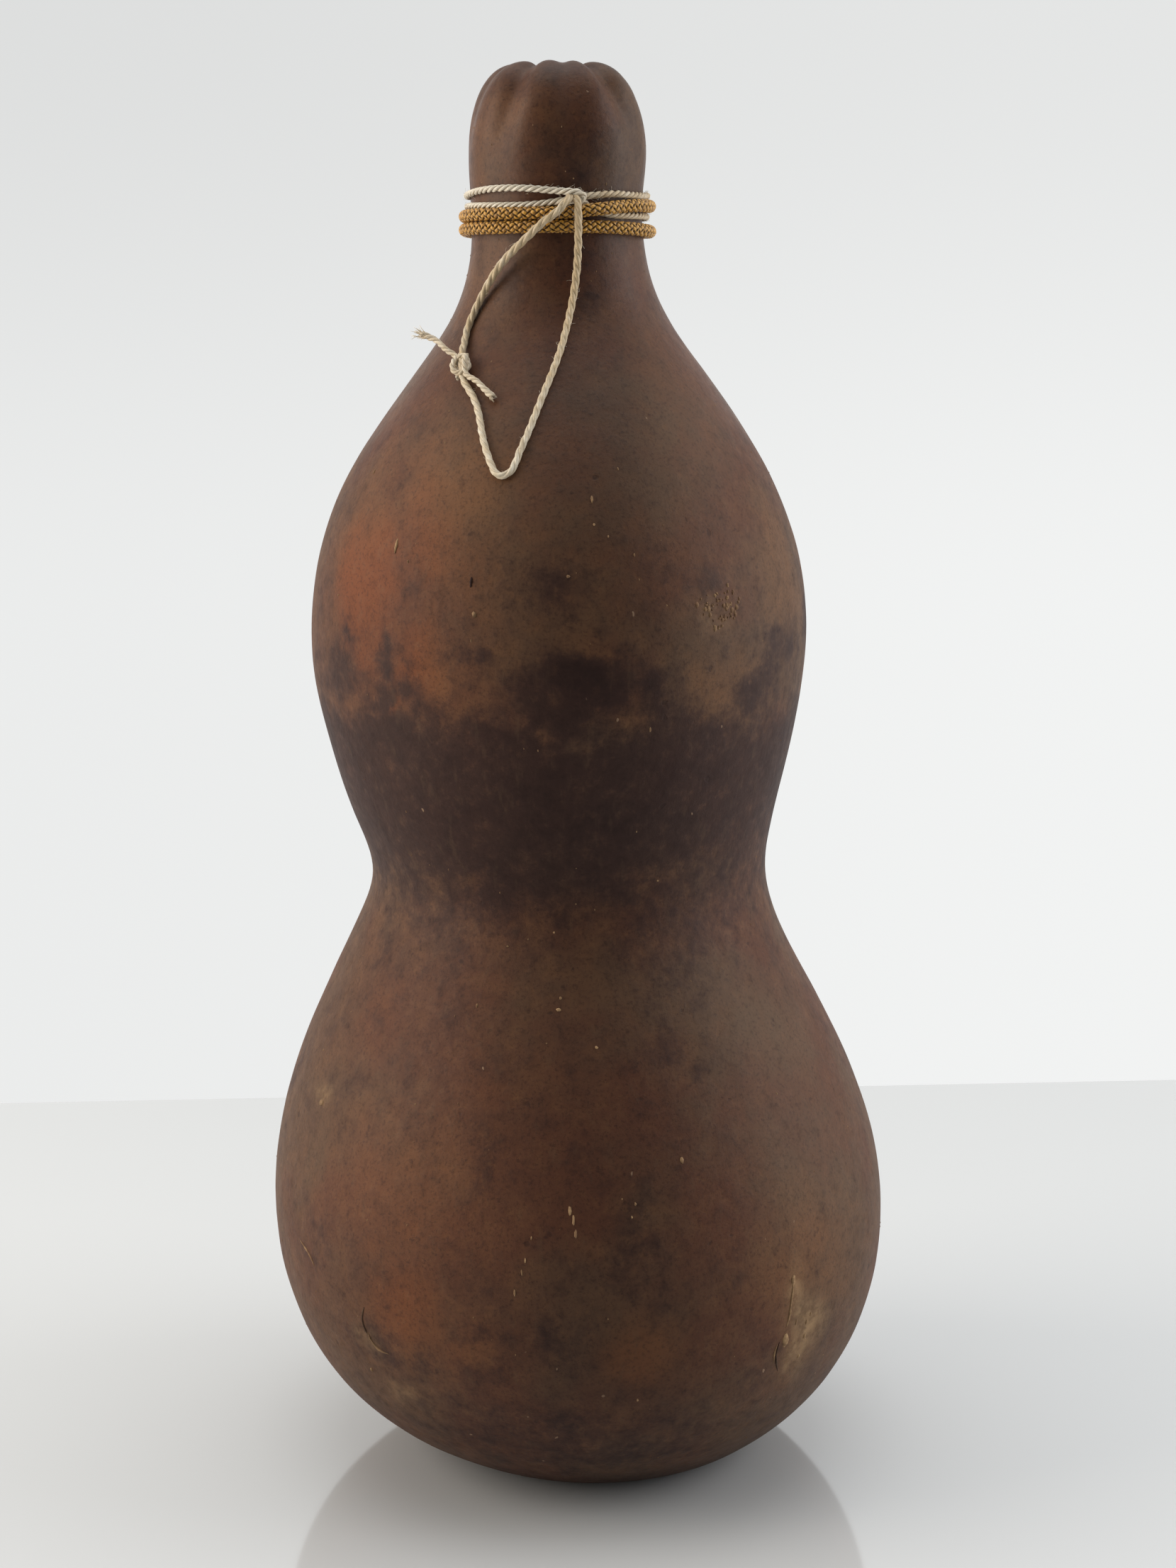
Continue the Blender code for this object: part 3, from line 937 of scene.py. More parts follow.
def patch_colours(tree, seen):
    """The skin's ground colour and large patches, whose edges the noises make ragged; some grey
    patches are painted sheen.
    """
    red = attribute(tree, "red")
    dark = attribute(tree, "dark")
    edge = scaled(tree, seen["ragged"], 0.5, 1.55)
    edge = plus(tree, edge, scaled(tree, seen["mottle"], 0.5, 0.75))
    ground = tint(tree, RED_BROWN, WARM_BROWN, seen["broad"], 0.38, 0.62)
    ground = mix(tree, red, ground, RED_BROWN)
    warm = tint(tree, LIGHT_OCHRE, OCHRE, red, 0.1, 0.9)
    ochre = math_node(tree, "SUBTRACT", attribute(tree, "ochre"), times(tree, edge, 0.45))
    # Olive-grey patches, partly painted sheen
    grey = plus(tree, attribute(tree, "grey"), times(tree, edge, 0.5))
    darkness = plus(tree, dark, edge)
    layers = (
        (PURPLE_BROWN, seen["ragged"], 0.50, 0.66, 0.38),
        (LIGHT_OCHRE, seen["ragged"], 0.50, 0.36, 0.22),
        (warm, ochre, 0.0, 1.10, 0.90),
        (OLIVE_GREY, grey, 0.1, 1.0, 0.8),
        (PURPLE_BROWN, darkness, 0.15, 1.00, 0.88),
        (DARK_BROWN, darkness, 0.60, 1.60, 0.85),
    )
    return layered(tree, ground, layers)


def skin_colour(tree, seen, cork):
    """The patches with the fine mottling, specks, painted shade and crust over them."""
    mottle = seen["mottle"]
    calm = between(tree, attribute(tree, "dark"), 0.45, 1.0, 1.0, 0.45)
    darker = times(tree, between(tree, mottle, 0.51, 0.74, 0.0, 0.36), calm)
    lighter = times(tree, between(tree, mottle, 0.46, 0.32, 0.0, 0.22), calm)
    ground = mix(tree, darker, patch_colours(tree, seen), DARK_BROWN)
    ground = mix(tree, lighter, ground, LIGHT_OCHRE)
    ground = tint(tree, ground, DARK_BROWN, seen["fine"], 0.48, 0.68, 0.46)
    ground = tint(tree, ground, OLIVE_GREY, seen["streaks"], 0.56, 0.74, 0.20)
    for name, share, colour in SCATTERED:
        ground = mix(tree, times(tree, seen[name], share), ground, colour)
    # Painted shade: where the shade patches lie, the colour is multiplied by a grey
    shaded = mix(tree, 1.0, ground, DEEP_SHADE, "MULTIPLY")
    ground = mix(tree, attribute(tree, "deep"), ground, shaded)
    return mix(tree, times(tree, cork, between(tree, mottle, 0.40, 0.60, 1.0, 0.45)), ground, CORK)


def skin_relief(tree, seen):
    """Bumps one on another: height, strength, and distance in metres."""
    layers = (
        (seen["ragged"], 0.34, 0.0008),
        (seen["mottle"], 0.24, 0.0004),
        (seen["fine"], 0.18, 0.00012),
        (seen["streaks"], 0.12, 0.0002),
        (scaled(tree, seen["pit"], 0.0, -1.0), 0.25, 0.0002),
        (seen["fleck"], 0.5, 0.0002),
    )
    normal = None
    for layer in layers:
        normal = bump(tree, *layer, normal)
    return normal


def gourd_material():
    material, tree, shader = new_material("gourd_skin")
    seen = skin_patterns(tree)
    cork = attribute(tree, "cork")
    waxed = between(tree, attribute(tree, "polish"), 0.0, 1.0, 0.56, 0.40)
    rough = plus(tree, waxed, scaled(tree, seen["mottle"], 0.5, 0.25))
    finish = {
        "Base Color": skin_colour(tree, seen, cork),
        "Roughness": plus(tree, rough, times(tree, cork, 0.25)),
        "Normal": skin_relief(tree, seen),
        "Specular IOR Level": 0.14,
        "IOR": 1.48,
    }
    fill(tree, shader, finish)
    return material


STRING_WHITE = rgb(244, 237, 220)
STRING_SILK = rgb(194, 180, 153)
STRING_BEIGE = rgb(202, 178, 136)
STRING_TAN = rgb(168, 142, 102)
STRING_DARK = rgb(122, 100, 72)


def string_material():
    material, tree, shader = new_material("pale_string")
    fibre = attribute(tree, "fibre", "Vector")
    hue = attribute(tree, "hue")
    long_fibres = noise(tree, stretched(tree, fibre, (2.6, 2.6, 0.35)), 2.2, 4.0, 0.65)
    patches = noise(tree, stretched(tree, fibre, (0.05, 0.05, 0.16)), 2.0, 3.0)
    silky = tint(tree, STRING_SILK, STRING_WHITE, long_fibres, 0.36, 0.66)
    beige = tint(tree, STRING_TAN, STRING_BEIGE, long_fibres, 0.36, 0.66)
    tan = plus(tree, hue, scaled(tree, patches, 0.5, 1.4))
    ground = tint(tree, silky, beige, tan, -0.05, 1.05)
    ground = tint(tree, ground, STRING_DARK, long_fibres, 0.36, 0.24, 0.6)
    # Painted shade in the grooves between the plies
    ground = mix(tree, times(tree, attribute(tree, "groove"), 0.85), ground, STRING_DARK)
    finish = {
        "Base Color": ground,
        "Normal": bump(tree, long_fibres, 0.6, 0.00012),
        "Roughness": between(tree, hue, 0.0, 0.6, 0.20, 0.58),
        "Specular IOR Level": 0.8,
        "Sheen Weight": 0.3,
        "Sheen Roughness": 0.4,
    }
    fill(tree, shader, finish)
    return material


GOLD_LIGHT = rgb(226, 170, 66)
GOLD_MIDDLE = rgb(170, 118, 34)
GOLD_DEEP = rgb(130, 85, 22)
# The darkest is painted shade, for the gaps between the strands and the core
GOLD_GAP_SHADE = rgb(44, 27, 8)


def gold_material():
    material, tree, shader = new_material("gold_braid")
    fibre = attribute(tree, "fibre", "Vector")
    threads = noise(tree, stretched(tree, fibre, (3.2, 1.0, 0.5)), 2.0, 3.0, 0.6)
    tone = noise(tree, stretched(tree, fibre, (0.2, 0.9, 1.1)), 1.0, 2.0, 0.6)
    # Painted shade: darker where a strand dips under the others, towards each strand's sides, and on
    # the core
    across = math_node(tree, "ABSOLUTE", axes_of(tree, fibre)[0])
    layers = (
        (GOLD_LIGHT, threads, 0.35, 0.65),
        (GOLD_DEEP, tone, 0.46, 0.66, 0.7),
        (GOLD_GAP_SHADE, attribute(tree, "hue"), 0.5, -0.15, 0.85),
        (GOLD_GAP_SHADE, across, 0.60, 1.0, 0.78),
    )
    finish = {
        "Base Color": layered(tree, GOLD_MIDDLE, layers),
        "Normal": bump(tree, threads, 0.7, 0.00012),
        "Roughness": 0.30,
        "Sheen Weight": 0.15,
        "Sheen Roughness": 0.35,
    }
    fill(tree, shader, finish)
    return material


# The gourd


def ring_places():
    """Places of the mesh rings along the outline, closer together near the stem end."""
    end = OUTLINE_KNOTS[-1]
    marks = (0.0, 30.0, end - 70.0, end - 36.0, end)
    steps = (RING_STEP_FOOT, RING_STEP_BODY, RING_STEP_BODY, RING_STEP_END, RING_STEP_END)
    fine = np.linspace(0.0, end, 4000)
    density = 1 / np.interp(fine, marks, steps)
    count = running_sum((density[1:] + density[:-1]) / 2 * np.diff(fine))
    return np.interp(np.linspace(0.0, count[-1], round(count[-1]) + 1), count, fine)


def blotch_mask(azimuth, height, radius, patches):
    """The strongest of the listed patches at each place, fading out past its half sizes."""
    mask = np.zeros(len(azimuth))
    for middle, level, across, up, strength in patches:
        away = np.remainder(azimuth - middle + 180.0, 360.0) - 180.0
        x = np.radians(away) * radius / across
        z = (height - level) / up
        mask = np.maximum(mask, strength * np.exp(-((x * x + z * z) ** 1.2) * 0.8))
    return mask


def pushed(points, push, seed):
    reach, size = push
    return reach * lattice_noise(points, size, seed)


def skin_tags(points, azimuth, height, radius):
    """Colour masks of the skin, with their edges pushed about by noise."""
    push = pushed(points, WIDE_PUSH, 11) + pushed(points, FINE_PUSH, 12)
    raised = height + (pushed(points, WIDE_PUSH, 13) + pushed(points, FINE_PUSH, 14))
    turned = azimuth + np.degrees(push / np.maximum(radius, 6.0))
    tables = {
        "ochre": OCHRE_PATCHES,
        "dark": DARK_PATCHES,
        "grey": GREY_AND_SHEEN_PATCHES,
        "red": RED_PATCHES,
        "cork": CRUST_PATCHES,
    }
    tags = {name: blotch_mask(turned, raised, radius, rows) for name, rows in tables.items()}
    # Painted shade, with smooth edges
    tags["deep"] = blotch_mask(azimuth, height, radius, PAINTED_SHADE_PATCHES)
    tags["polish"] = smoothstep(225.0, 262.0, height)
    ragged = raised + pushed(points, BAND_PUSH, 15)
    low, high, soft = BAND_BOTTOM, BAND_TOP, BAND_SOFTNESS
    band = smoothstep(low - 4.0 * soft, low + 4.0 * soft, ragged)
    band = band * (1 - smoothstep(high - soft, high + 1.6 * soft, ragged))
    halo = HALO_STRENGTH * (1 - smoothstep(high, high + HALO_RISE, ragged))
    halo = halo * smoothstep(low, high, ragged)
    dark = np.maximum(tags["dark"], BAND_STRENGTH * band) + halo * (1 - band)
    fade = 1 - 0.8 * smoothstep(0.3, 0.9, tags["ochre"]) * smoothstep(0.0, 0.5, band)
    tags["dark"] = dark * fade
    return tags


def add_gourd(material):
    """The skin as one closed mesh, with its relief, marks and colour masks."""
    places = ring_places()
    rows = spline(OUTLINE_KNOTS, OUTLINE, places)
    above = spline(OUTLINE_KNOTS, OUTLINE, places + 0.05)
    below = spline(OUTLINE_KNOTS, OUTLINE, places - 0.05)
    slope = unit((above - below)[:, :2])
    angle = np.tile(round_angles(SEGMENTS), len(rows))
    row = np.repeat(np.arange(len(rows)), SEGMENTS)
    height, radius, lean = rows[row].T
    rise, widening = slope[row].T
    smooth = around_middle(lean, 0.0, radius, angle, height)
    relief = sum(size * lattice_noise(smooth, wide, 30 + i) for i, (wide, size) in enumerate(RELIEF))
    relief *= smoothstep(0.5, 12.0, height) * smoothstep(6.0, 14.0, radius)
    out = relief - furrow_depth(angle, height, radius) - facet_depth(angle, height)
    reach = radius * (1 + out_of_round(angle, height)) + out * rise
    z = np.maximum(height - out * widening, 0.0)
    points = around_middle(lean, backward(height), reach, angle, z)
    shape = Shape()
    tags = skin_tags(points, np.degrees(angle), height, radius)
    shape.add(points, tube_faces(len(rows), SEGMENTS, caps=False), **tags)
    add_marks(shape, points, rows)
    add_end(shape, points[:SEGMENTS], 0, UNDERSIDE_RINGS, UNDERSIDE_HOLLOW, False)
    add_end(shape, points[-SEGMENTS:], len(points) - SEGMENTS, SCAR_RINGS, SCAR_RISE, True)
    return shape.build("gourd_body", material)


# Small raised marks, each with its azimuth, height, half width, half height and how it stands
# out in mm, and its paleness from 0, dark, to 1, cork
MARKS = (
    (-59.8, 238.7, 0.4, 0.9, 0.2, 0.6),
    (-40.5, 223.5, 0.55, 2, 0.35, 0.75),
    (-36.1, 220.4, 0.35, 0.55, 0.2, 0.6),
    (-17.8, 209.8, 0.7, 0.9, 0.4, 0.45),
    (8.6, 234.2, 0.35, 1.2, 0.25, 0.75),
    (8.8, 229.1, 0.4, 0.4, 0.25, 0.8),
    (16, 240.6, 0.3, 0.55, 0.2, 0.6),
    (11.9, 226.6, 0.3, 0.45, 0.2, 0.6),
    (17.6, 222.6, 0.3, 0.55, 0.2, 0.6),
    (2.7, 218.3, 0.6, 0.5, 0.3, 0.4),
    (20.8, 184.5, 0.3, 0.8, 0.2, 0.55),
    (25.1, 148.5, 0.35, 0.35, 0.25, 1),
    (-3.6, 137.6, 0.4, 0.4, 0.25, 0.85),
    (-15.7, 134.2, 0.4, 0.35, 0.25, 0.8),
    (-1.3, 124, 0.45, 0.45, 0.3, 0.9),
    (-1.8, 121.6, 0.75, 0.5, 0.3, 0.85),
    (6.3, 114, 0.45, 0.5, 0.3, 0.95),
    (-4.5, 114.8, 0.3, 0.3, 0.2, 0.8),
    (-21.5, 121.4, 0.4, 0.6, 0.2, 0.6),
    (20.3, 90.3, 0.6, 1, 0.3, 0.75),
    (10.8, 82.1, 0.35, 0.55, 0.25, 0.95),
    (10, 79.4, 0.28, 0.45, 0.2, 0.85),
    (-0.7, 81, 0.5, 1.5, 0.25, 0.9),
    (-0.1, 78.9, 0.4, 1.5, 0.2, 0.75),
    (0.2, 76.2, 0.55, 1.4, 0.15, 0.45),
    (-7.4, 75, 0.25, 0.6, 0.2, 0.85),
    (-8.5, 70.1, 0.25, 0.8, 0.2, 0.9),
    (-9.1, 67.4, 0.28, 0.9, 0.2, 0.85),
    (-10.4, 62.8, 0.35, 1.2, 0.25, 0.95),
    (-61.3, 93, 1.6, 0.9, 0.35, 0.5),
    (-43.8, 34.8, 0.6, 0.8, 0.3, 0.6),
    (10.4, 36.3, 0.35, 0.5, 0.2, 0.75),
    (39.8, 44.6, 1.3, 2.4, 0.4, 1),
    (40.6, 59.2, 0.9, 1.6, 0.35, 1),
    (44.9, 43.7, 0.5, 0.9, 0.25, 0.8),
    (44.4, 38.6, 0.6, 0.8, 0.25, 0.7),
    (44.8, 47.3, 0.4, 0.9, 0.25, 0.75),
    (42, 48.4, 0.35, 1.2, 0.2, 0.7),
    (45.8, 48.9, 0.5, 0.7, 0.2, 0.65),
)

# Threads in the skin: places along them, radius in mm and paleness
THREADS = (
    (((40.6, 59.2), (40.5, 56.9), (40.2, 54.1), (40, 50.6), (39.5, 47.8)), 0.26, 0.85),
    (((38.4, 44.6), (38, 42.1), (38.4, 39.3), (39.4, 36.5)), 0.22, 0.1),
    (((37.9, 44.2), (37.5, 41.8), (37.9, 39)), 0.18, 0.7),
    (((-41.6, 51.8), (-42.5, 49.2), (-42.5, 46.7), (-41.8, 44.6)), 0.22, 0.15),
    (((-41.8, 45.4), (-41, 43.1), (-39.4, 41.6), (-37.2, 41.4)), 0.26, 0.45),
    (((-62.7, 59.8), (-60.3, 58.9), (-58, 57.4), (-56.9, 55.9)), 0.22, 0.65),
    (((-18.8, 217.8), (-18.9, 216.6), (-18.9, 215.6)), 0.3, 0),
)

# A cluster of warts, and specks all over. Each kind has its sizes in mm, paleness and height for
# its width, all drawn between two ends, and how far it stands out in mm
WARTS = 64
WARTS_PLACE = np.array((38.5, 210.3))
WARTS_SPREAD = np.array((2.9, 2.2))
WART = ((0.25, 0.75), (0.25, 0.65), (0.5, 1.5), 0.22)
SPECKS = 260
SPECKS_HEIGHTS = (14.0, 316.0)
SPECK = ((0.14, 0.27), (0.3, 0.9), (0.8, 2.2), 0.12)
SUNK = 0.14


class SkinPlaces:
    """Finds places on the gourd's mesh by azimuth and height, with the relief it has there."""

    def __init__(self, points, rows):
        self.grid = points.reshape(len(rows), SEGMENTS, 3)
        self.heights = rows[: int(np.argmax(rows[:, 0])), 0]

    def at(self, azimuth, height):
        row = np.interp(height, self.heights, np.arange(len(self.heights)))
        side = azimuth / 360.0 * SEGMENTS
        i, j = int(row), int(math.floor(side))
        down, across = row - i, side - j
        near = self.grid[i : i + 2][:, [j % SEGMENTS, (j + 1) % SEGMENTS]]
        upper = near[0] * (1 - down) + near[1] * down
        return upper[0] * (1 - across) + upper[1] * across


def plain_tags(count, **given):
    """The skin's masks for added points: 0 but for the ones given."""
    names = ("ochre", "dark", "grey", "red", "cork", "deep", "polish")
    return {name: np.full(count, given.get(name, 0.0)) for name in names}


def mark_tags(count, pale):
    return plain_tags(count, dark=1.5 if pale < 0.2 else 0.0, cork=pale)


def add_blob(shape, places, draw, mark):
    """A low uneven dome whose rim lies under the skin."""
    azimuth, height, across, up, out, pale = mark
    across, up = 0.8 * across, 0.85 * up
    rings, sides = (4, 9) if max(across, up) > 0.4 else (3, 6)
    slopes = np.linspace(np.pi / 2, np.pi / 8, rings)
    rise, turn = np.meshgrid(slopes, round_angles(sides), indexing="ij")
    uneven = draw.uniform(0.72, 1.2, rise.shape)
    bumpy = draw.uniform(0.8, 1.15, rise.shape)
    local = np.stack(
        [
            across * uneven * np.sin(rise) * np.cos(turn),
            up * uneven * np.sin(rise) * np.sin(turn),
            (out + SUNK) * np.cos(rise) * bumpy - SUNK,
        ],
        axis=-1,
    )
    local = np.concatenate([local.reshape(-1, 3), [(0.0, 0.0, out)]])
    faces = tube_faces(rings, sides, caps=False)
    last = (rings - 1) * sides
    faces += [(last + i, last + (i + 1) % sides, rings * sides) for i in range(sides)]
    points = places.at(azimuth, height) + local @ skin_axes(azimuth, height)
    shape.add(points, faces, **mark_tags(len(local), pale))


def add_thread(shape, places, draw, route, radius, pale):
    rows = even_points(np.array(route), 0.4)
    line = np.array([places.at(*row) for row in rows])
    size = radius * np.interp(np.linspace(0, 1, len(line)), (0, 0.2, 0.8, 1), (0.3, 1.0, 1.0, 0.3))
    size = size * draw.uniform(0.7, 1.3, len(line))
    circle_tube(shape, line, size, 6, **mark_tags(1, pale))


def add_drawn_blob(shape, places, draw, place, sizes, paleness, tallness, out):
    size = draw.uniform(*sizes)
    pale = draw.uniform(*paleness)
    tall = size * draw.uniform(*tallness)
    add_blob(shape, places, draw, (*place, size, tall, out, pale))


def add_marks(shape, points, rows):
    """Warts, chips, cracks and specks on the skin."""
    places = SkinPlaces(points, rows)
    draw = np.random.default_rng(21)
    for mark in MARKS:
        add_blob(shape, places, draw, mark)
    for route, radius, pale in THREADS:
        add_thread(shape, places, draw, route, radius, pale)
    for _ in range(WARTS):
        place = WARTS_PLACE + WARTS_SPREAD * draw.standard_normal(2)
        add_drawn_blob(shape, places, draw, place, *WART)
    for _ in range(SPECKS):
        place = draw.uniform(-180.0, 180.0), draw.uniform(*SPECKS_HEIGHTS)
        add_drawn_blob(shape, places, draw, place, *SPECK)


def add_end(shape, ring, start, rings, rise, upward):
    """Closes an end with rings that shrink to the middle and rise a little towards it."""
    middle = ring.mean(axis=0)
    previous = start + np.arange(SEGMENTS)
    after = np.roll(np.arange(SEGMENTS), -1)
    order = 1 if upward else -1
    for step in range(1, rings + 1):
        share = 1 - step / (rings + 1)
        points = middle + (ring - middle) * share
        points[:, 2] += rise * (1 - share**2)
        if upward:
            points[:, 2] += 0.12 * lattice_noise(points, 0.9, 41)
        cork = 0.75 if upward else 0.35 * (step > rings - 3)
        current = shape.count + np.arange(SEGMENTS)
        shape.add(points, [], **plain_tags(SEGMENTS, dark=0.4, grey=cork, cork=cork))
        quads = zip(previous, previous[after], current[after], current)
        shape.faces += [tuple(int(i) for i in quad)[::order] for quad in quads]
        previous = current
    tip = shape.count
    tags = plain_tags(1, dark=0.4, grey=0.7, cork=0.7 if upward else 0.4)
    shape.add([middle + (0.0, 0.0, rise)], [], **tags)
    pairs = zip(previous, previous[after])
    shape.faces += [(int(here), int(beside), tip)[::order] for here, beside in pairs]


# Cords


def add_gold(material):
    points = wound_points(GOLD_ROUTE, BRAID_STEP, GOLD_ON_SKIN)
    half = len(points) // 2
    names = ("gold_cord_lower", "gold_cord_upper")
    for name, part in zip(names, (points[: half + 1], points[half:])):
        shape = Shape()
        braided(shape, part, GOLD_DIAMETER)
        made = shape.build(name, material)
        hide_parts("gold_cord")


def knot_points(place, turn, local):
    """Places of points given across, along and outward from a place on the skin, in mm."""
    axes = skin_axes(place[0], place[1])
    across = circled(math.radians(turn), axes[0], axes[1])
    along = np.cross(axes[2], across)
    middle = skin_places(np.array([place[0]]), np.array([place[1]]), place[2])[0]
    return middle + local @ np.array([across, along, axes[2]])


def knot_line(place, turn, rows, tail, step):
    """A cord's line from the tip of its tail through its bight of the knot."""
    ends = skin_places(*np.array(tail).T)
    return even_points(np.concatenate([ends[::-1], knot_points(place, turn, rows)]), step)


# A reef knot's bight in its own axes, in cord diameters: across, along, outward.
# The tail leaves from its first point and the standing part from its last
BIGHT = (
    (-0.75, 1.9, 0.1),
    (-0.8, 1.1, 0.45),
    (-0.95, 0.2, 0.75),
    (-1, -0.65, 0.6),
    (-0.62, -1.25, 0.35),
    (0, -1.45, 0.3),
    (0.62, -1.25, 0.2),
    (1, -0.65, -0.1),
    (0.85, 0.2, -0.35),
    (0.7, 1.1, -0.3),
    (0.65, 1.9, -0.1),
)


def add_gold_tie(material):
    rows = np.array(BIGHT) * GOLD_DIAMETER * 0.62
    shape = Shape()
    for turn, tail in ((90.0, TIE_END_LEFT), (-90.0, TIE_END_RIGHT)):
        line = knot_line(TIE_PLACE, turn, rows, tail, BRAID_STEP * 1.2)
        braided(shape, line, GOLD_DIAMETER * 0.9)
    made = shape.build("gold_tie", material)
    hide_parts("gold_knot")


# Length of one turn of the string's plies, in mm
TURNS_LAY = 5.3
LOOP_LAY = 8.6
KNOT_LAY = 5.2


def add_turns(material):
    points = wound_points(TURNS_ROUTE, STRING_STEP, ON_SKIN)
    shape = Shape()
    azimuth = np.degrees(np.arctan2(points[:, 0] - NECK_LEAN, -points[:, 1]))
    hue = 0.75 * smoothstep(2.0, 30.0, azimuth) * (1 - smoothstep(120.0, 175.0, azimuth))
    twisted(shape, points, TURNS_LAY, hue, 0.3)
    made = shape.build("string_neck_turns", material)
    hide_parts("string_turns")
    return points


def add_loop(material, points):
    """The hanging loop, tan near the hitch and paler at the bottom."""
    shape = Shape()
    height = points[:, 2]
    hue = 0.48 + 0.30 * smoothstep(246.0, 268.0, height)
    hue = hue + 0.35 * smoothstep(-4.0, 1.0, points[:, 0]) * smoothstep(262.0, 282.0, height)
    twisted(shape, points, LOOP_LAY, hue, 1.0, 1.0 + 0.12 * smoothstep(262.0, 285.0, height))
    made = shape.build("string_loop", material)
    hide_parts("string_left", "string_right")


def random_way(draw, first, second):
    return circled(draw.uniform(0.0, 2 * np.pi), first, second)


def add_tuft(shape, line, draw, count, reach, spread):
    """Loose threads that leave a line near its first point and run past it."""
    first, second = line_frames(line)
    onward = unit(line[0] - line[5])
    for _ in range(count):
        at = draw.integers(1, 7)
        out = random_way(draw, first[at], second[at])
        share = np.linspace(0.0, 1.0, 7)[:, None]
        length = (line[at] - line[0]) @ -onward + reach * draw.uniform(0.3, 1.0)
        wander = 0.35 * spread * draw.standard_normal(3)
        thread = line[at] + 0.45 * out + length * share * onward
        thread = thread + spread * draw.uniform(0.2, 1.1) * share**2 * out + share**2 * wander
        add_thread_of_string(shape, thread, 0.11 * (1.0 - 0.65 * share[:, 0]), 5, 0.45)


def add_thread_of_string(shape, points, radius, sides, hue):
    fibre = fibre_places(np.zeros(sides), 0.0, chord_lengths(points))
    circle_tube(shape, points, radius, sides, hue=hue, groove=0.0, fibre=fibre)


def add_string_knot(material):
    """A reef knot of the string, with its two frayed tails."""
    draw = np.random.default_rng(8)
    shape = Shape()
    rows = np.array(BIGHT) * STRING_DIAMETER
    tails = ((0.0, TAIL_OUTWARD, (44, 2.3, 0.95)), (180.0, TAIL_INWARD, (16, 0.9, 0.30)))
    for flip, tail, tuft in tails:
        line = knot_line(KNOT_PLACE, KNOT_TURN + flip, rows, tail, STRING_STEP)
        swell = 0.84 + 0.22 * (1 - smoothstep(0.0, 5.0, chord_lengths(line)))
        twisted(shape, line, KNOT_LAY, 0.5, 0.6, swell)
        add_tuft(shape, line, draw, *tuft)
    made = shape.build("string_loop_knot", material)
    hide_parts("string_knot")
    return made


# Loose hairs: how many, and between which shares of the line's length
TURNS_HAIRS = (
    (150, 0.0, 1.0),
    (44, 0.0, 0.05),
    (50, 0.46, 0.53),
    (16, 0.94, 1.0),
    (16, 0.085, 0.125),
    (10, 0.87, 0.91),
)
LOOP_HAIRS = ((80, 0.0, 1.0), (40, 0.96, 1.0), (24, 0.0, 0.04))
HAIR_LENGTHS = (0.7, 2.2)
HAIR_RADIUS = 0.035
HAIR_POINTS = 8


def add_hair(shape, line, frames, at, draw):
    """One loose hair: a short thin curl that leaves the string's surface."""
    out = random_way(draw, frames[0][at], frames[1][at])
    ahead = unit(line[at + 1] - line[at]) * draw.choice((-1.0, 1.0))
    curl = np.cross(out, ahead) * draw.uniform(-1.0, 1.0)
    length = draw.uniform(*HAIR_LENGTHS)
    share = np.linspace(0.0, 1.0, HAIR_POINTS)[:, None]
    bends = draw.uniform(-0.5, 0.5, 3) * np.sin(draw.uniform(3.0, 7.0) * share) * length * 0.35
    hair = line[at] + out * STRING_DIAMETER * 0.4 + length * share * (0.6 * ahead + 0.4 * out)
    hair = hair + length * share**2 * curl * 0.5 + bends
    add_thread_of_string(shape, hair, HAIR_RADIUS * (1.0 - 0.5 * share[:, 0]), 3, 0.2)


def add_fibres(material, turns, loop):
    draw = np.random.default_rng(5)
    shape = Shape()
    for line, tufts in ((turns, TURNS_HAIRS), (loop, LOOP_HAIRS)):
        frames = line_frames(line)
        for count, low, high in tufts:
            for _ in range(count):
                at = int(np.clip(draw.uniform(low, high) * len(line), 2, len(line) - 3))
                add_hair(shape, line, frames, at, draw)
    made = shape.build("string_fibres", material)
    return made


# The room, in metres

FLOOR_EDGES = (-1.6, 1.6, -1.4, 0.275)
FLOOR_TURN = 3.8
FLOOR_TONES = ((0.585, 0.595, 0.595, 1.0), (0.615, 0.625, 0.625, 1.0))
BLACK = (0.0, 0.0, 0.0, 1.0)
ROOM_LIGHT = (0.77, 0.78, 0.78, 1.0)
BACKDROP = (0.99, 1.0, 0.995, 1.0)
LIGHT_AIM = (0.0, 0.0, 0.16)

# Softboxes: name, place, size, power in watts and colour
SOFTBOXES = (
    ("left_softbox", (-0.95, -0.16, 0.45), (0.7, 0.9), 9.3, (1.0, 0.915, 0.815)),
    ("right_softbox", (0.95, -0.02, 0.45), (0.7, 0.9), 6.4, (0.98, 0.98, 1.0)),
    ("top_softbox", (0.0, 0.05, 1.2), (1.0, 0.8), 5.0, (1.0, 1.0, 1.0)),
)


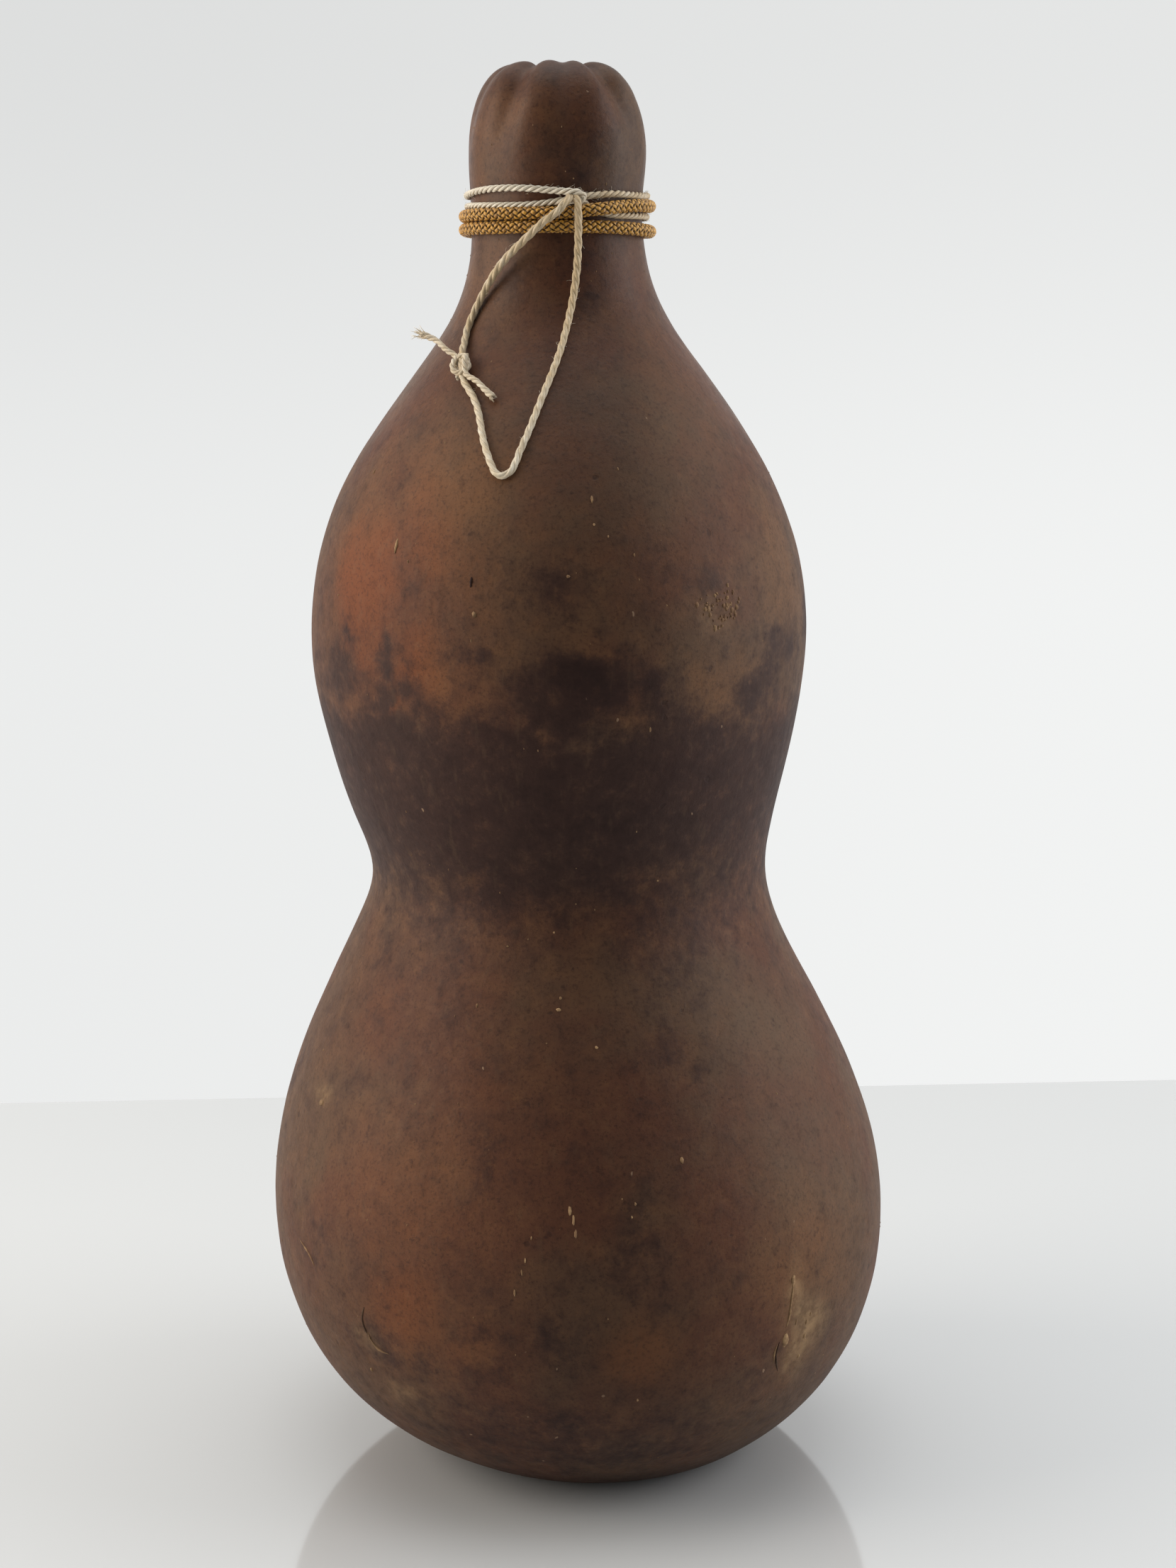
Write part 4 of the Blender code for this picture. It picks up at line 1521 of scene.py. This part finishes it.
def add_floor():
    material, tree, shader = new_material("floor")
    tone = noise(tree, place_from(tree, "Object"), 3.0, 2.0)
    finish = {"Base Color": mix(tree, tone, *FLOOR_TONES), "Roughness": 0.08, "IOR": 2.4}
    fill(tree, shader, finish)
    mesh = bpy.data.meshes.new("floor")
    left, right, near, far = FLOOR_EDGES
    corners = [(left, near, 0.0), (right, near, 0.0), (right, far, 0.0), (left, far, 0.0)]
    mesh.from_pydata(corners, [], [(0, 1, 2, 3)])
    mesh.materials.append(material)
    made = add_object("floor", mesh)
    made.rotation_euler = (0.0, 0.0, math.radians(FLOOR_TURN))


def add_light(name, place, size, power, colour):
    data = bpy.data.lights.new(name, "AREA")
    data.shape = "RECTANGLE"
    data.size, data.size_y = size
    data.energy = power
    data.color = colour
    made = add_object(name, data)
    made.location = place
    way = np.array(place) - np.array(LIGHT_AIM)
    flat = math.hypot(way[0], way[1])
    made.rotation_euler = (math.atan2(flat, way[2]), 0.0, math.atan2(way[0], -way[1]))


def add_room():
    """Softboxes, a pale backdrop for the camera, and an even dimmer light from all round."""
    bpy.context.scene.view_settings.view_transform = "Standard"
    world = bpy.data.worlds.new("world")
    world.use_nodes = True
    tree = world.node_tree
    right, back, up = axes_of(tree, place_from(tree, "Generated"))
    front = between(tree, back, -0.85, 0.05, 0.12, 1.0)
    shade = mix(tree, front, BLACK, ROOM_LIGHT)
    level = between(tree, up, 0.12, -0.12, 0.76, 0.865)
    level = plus(tree, level, between(tree, right, -0.25, 0.25, -0.025, 0.03))
    pale = mix(tree, level, BLACK, BACKDROP)
    seen = node(tree, "ShaderNodeLightPath", {}).outputs["Is Camera Ray"]
    fill(tree, tree.nodes["Background"], {"Color": mix(tree, seen, shade, pale), "Strength": 1.0})
    bpy.context.scene.world = world
    for softbox in SOFTBOXES:
        add_light(*softbox)


add_camera()
skin = gourd_material()
string = string_material()
gold = gold_material()
knot = add_string_knot(string)
turn_line = add_turns(string)
loop_line = route_points(LEFT_STRAND + (KNOT_PLACE,) + RIGHT_STRAND, STRING_STEP)
fibres = add_fibres(string, turn_line, loop_line)
add_loop(string, loop_line)
add_gold(gold)
add_gold_tie(gold)
body = add_gourd(skin)
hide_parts("gourd")
add_floor()
add_room()
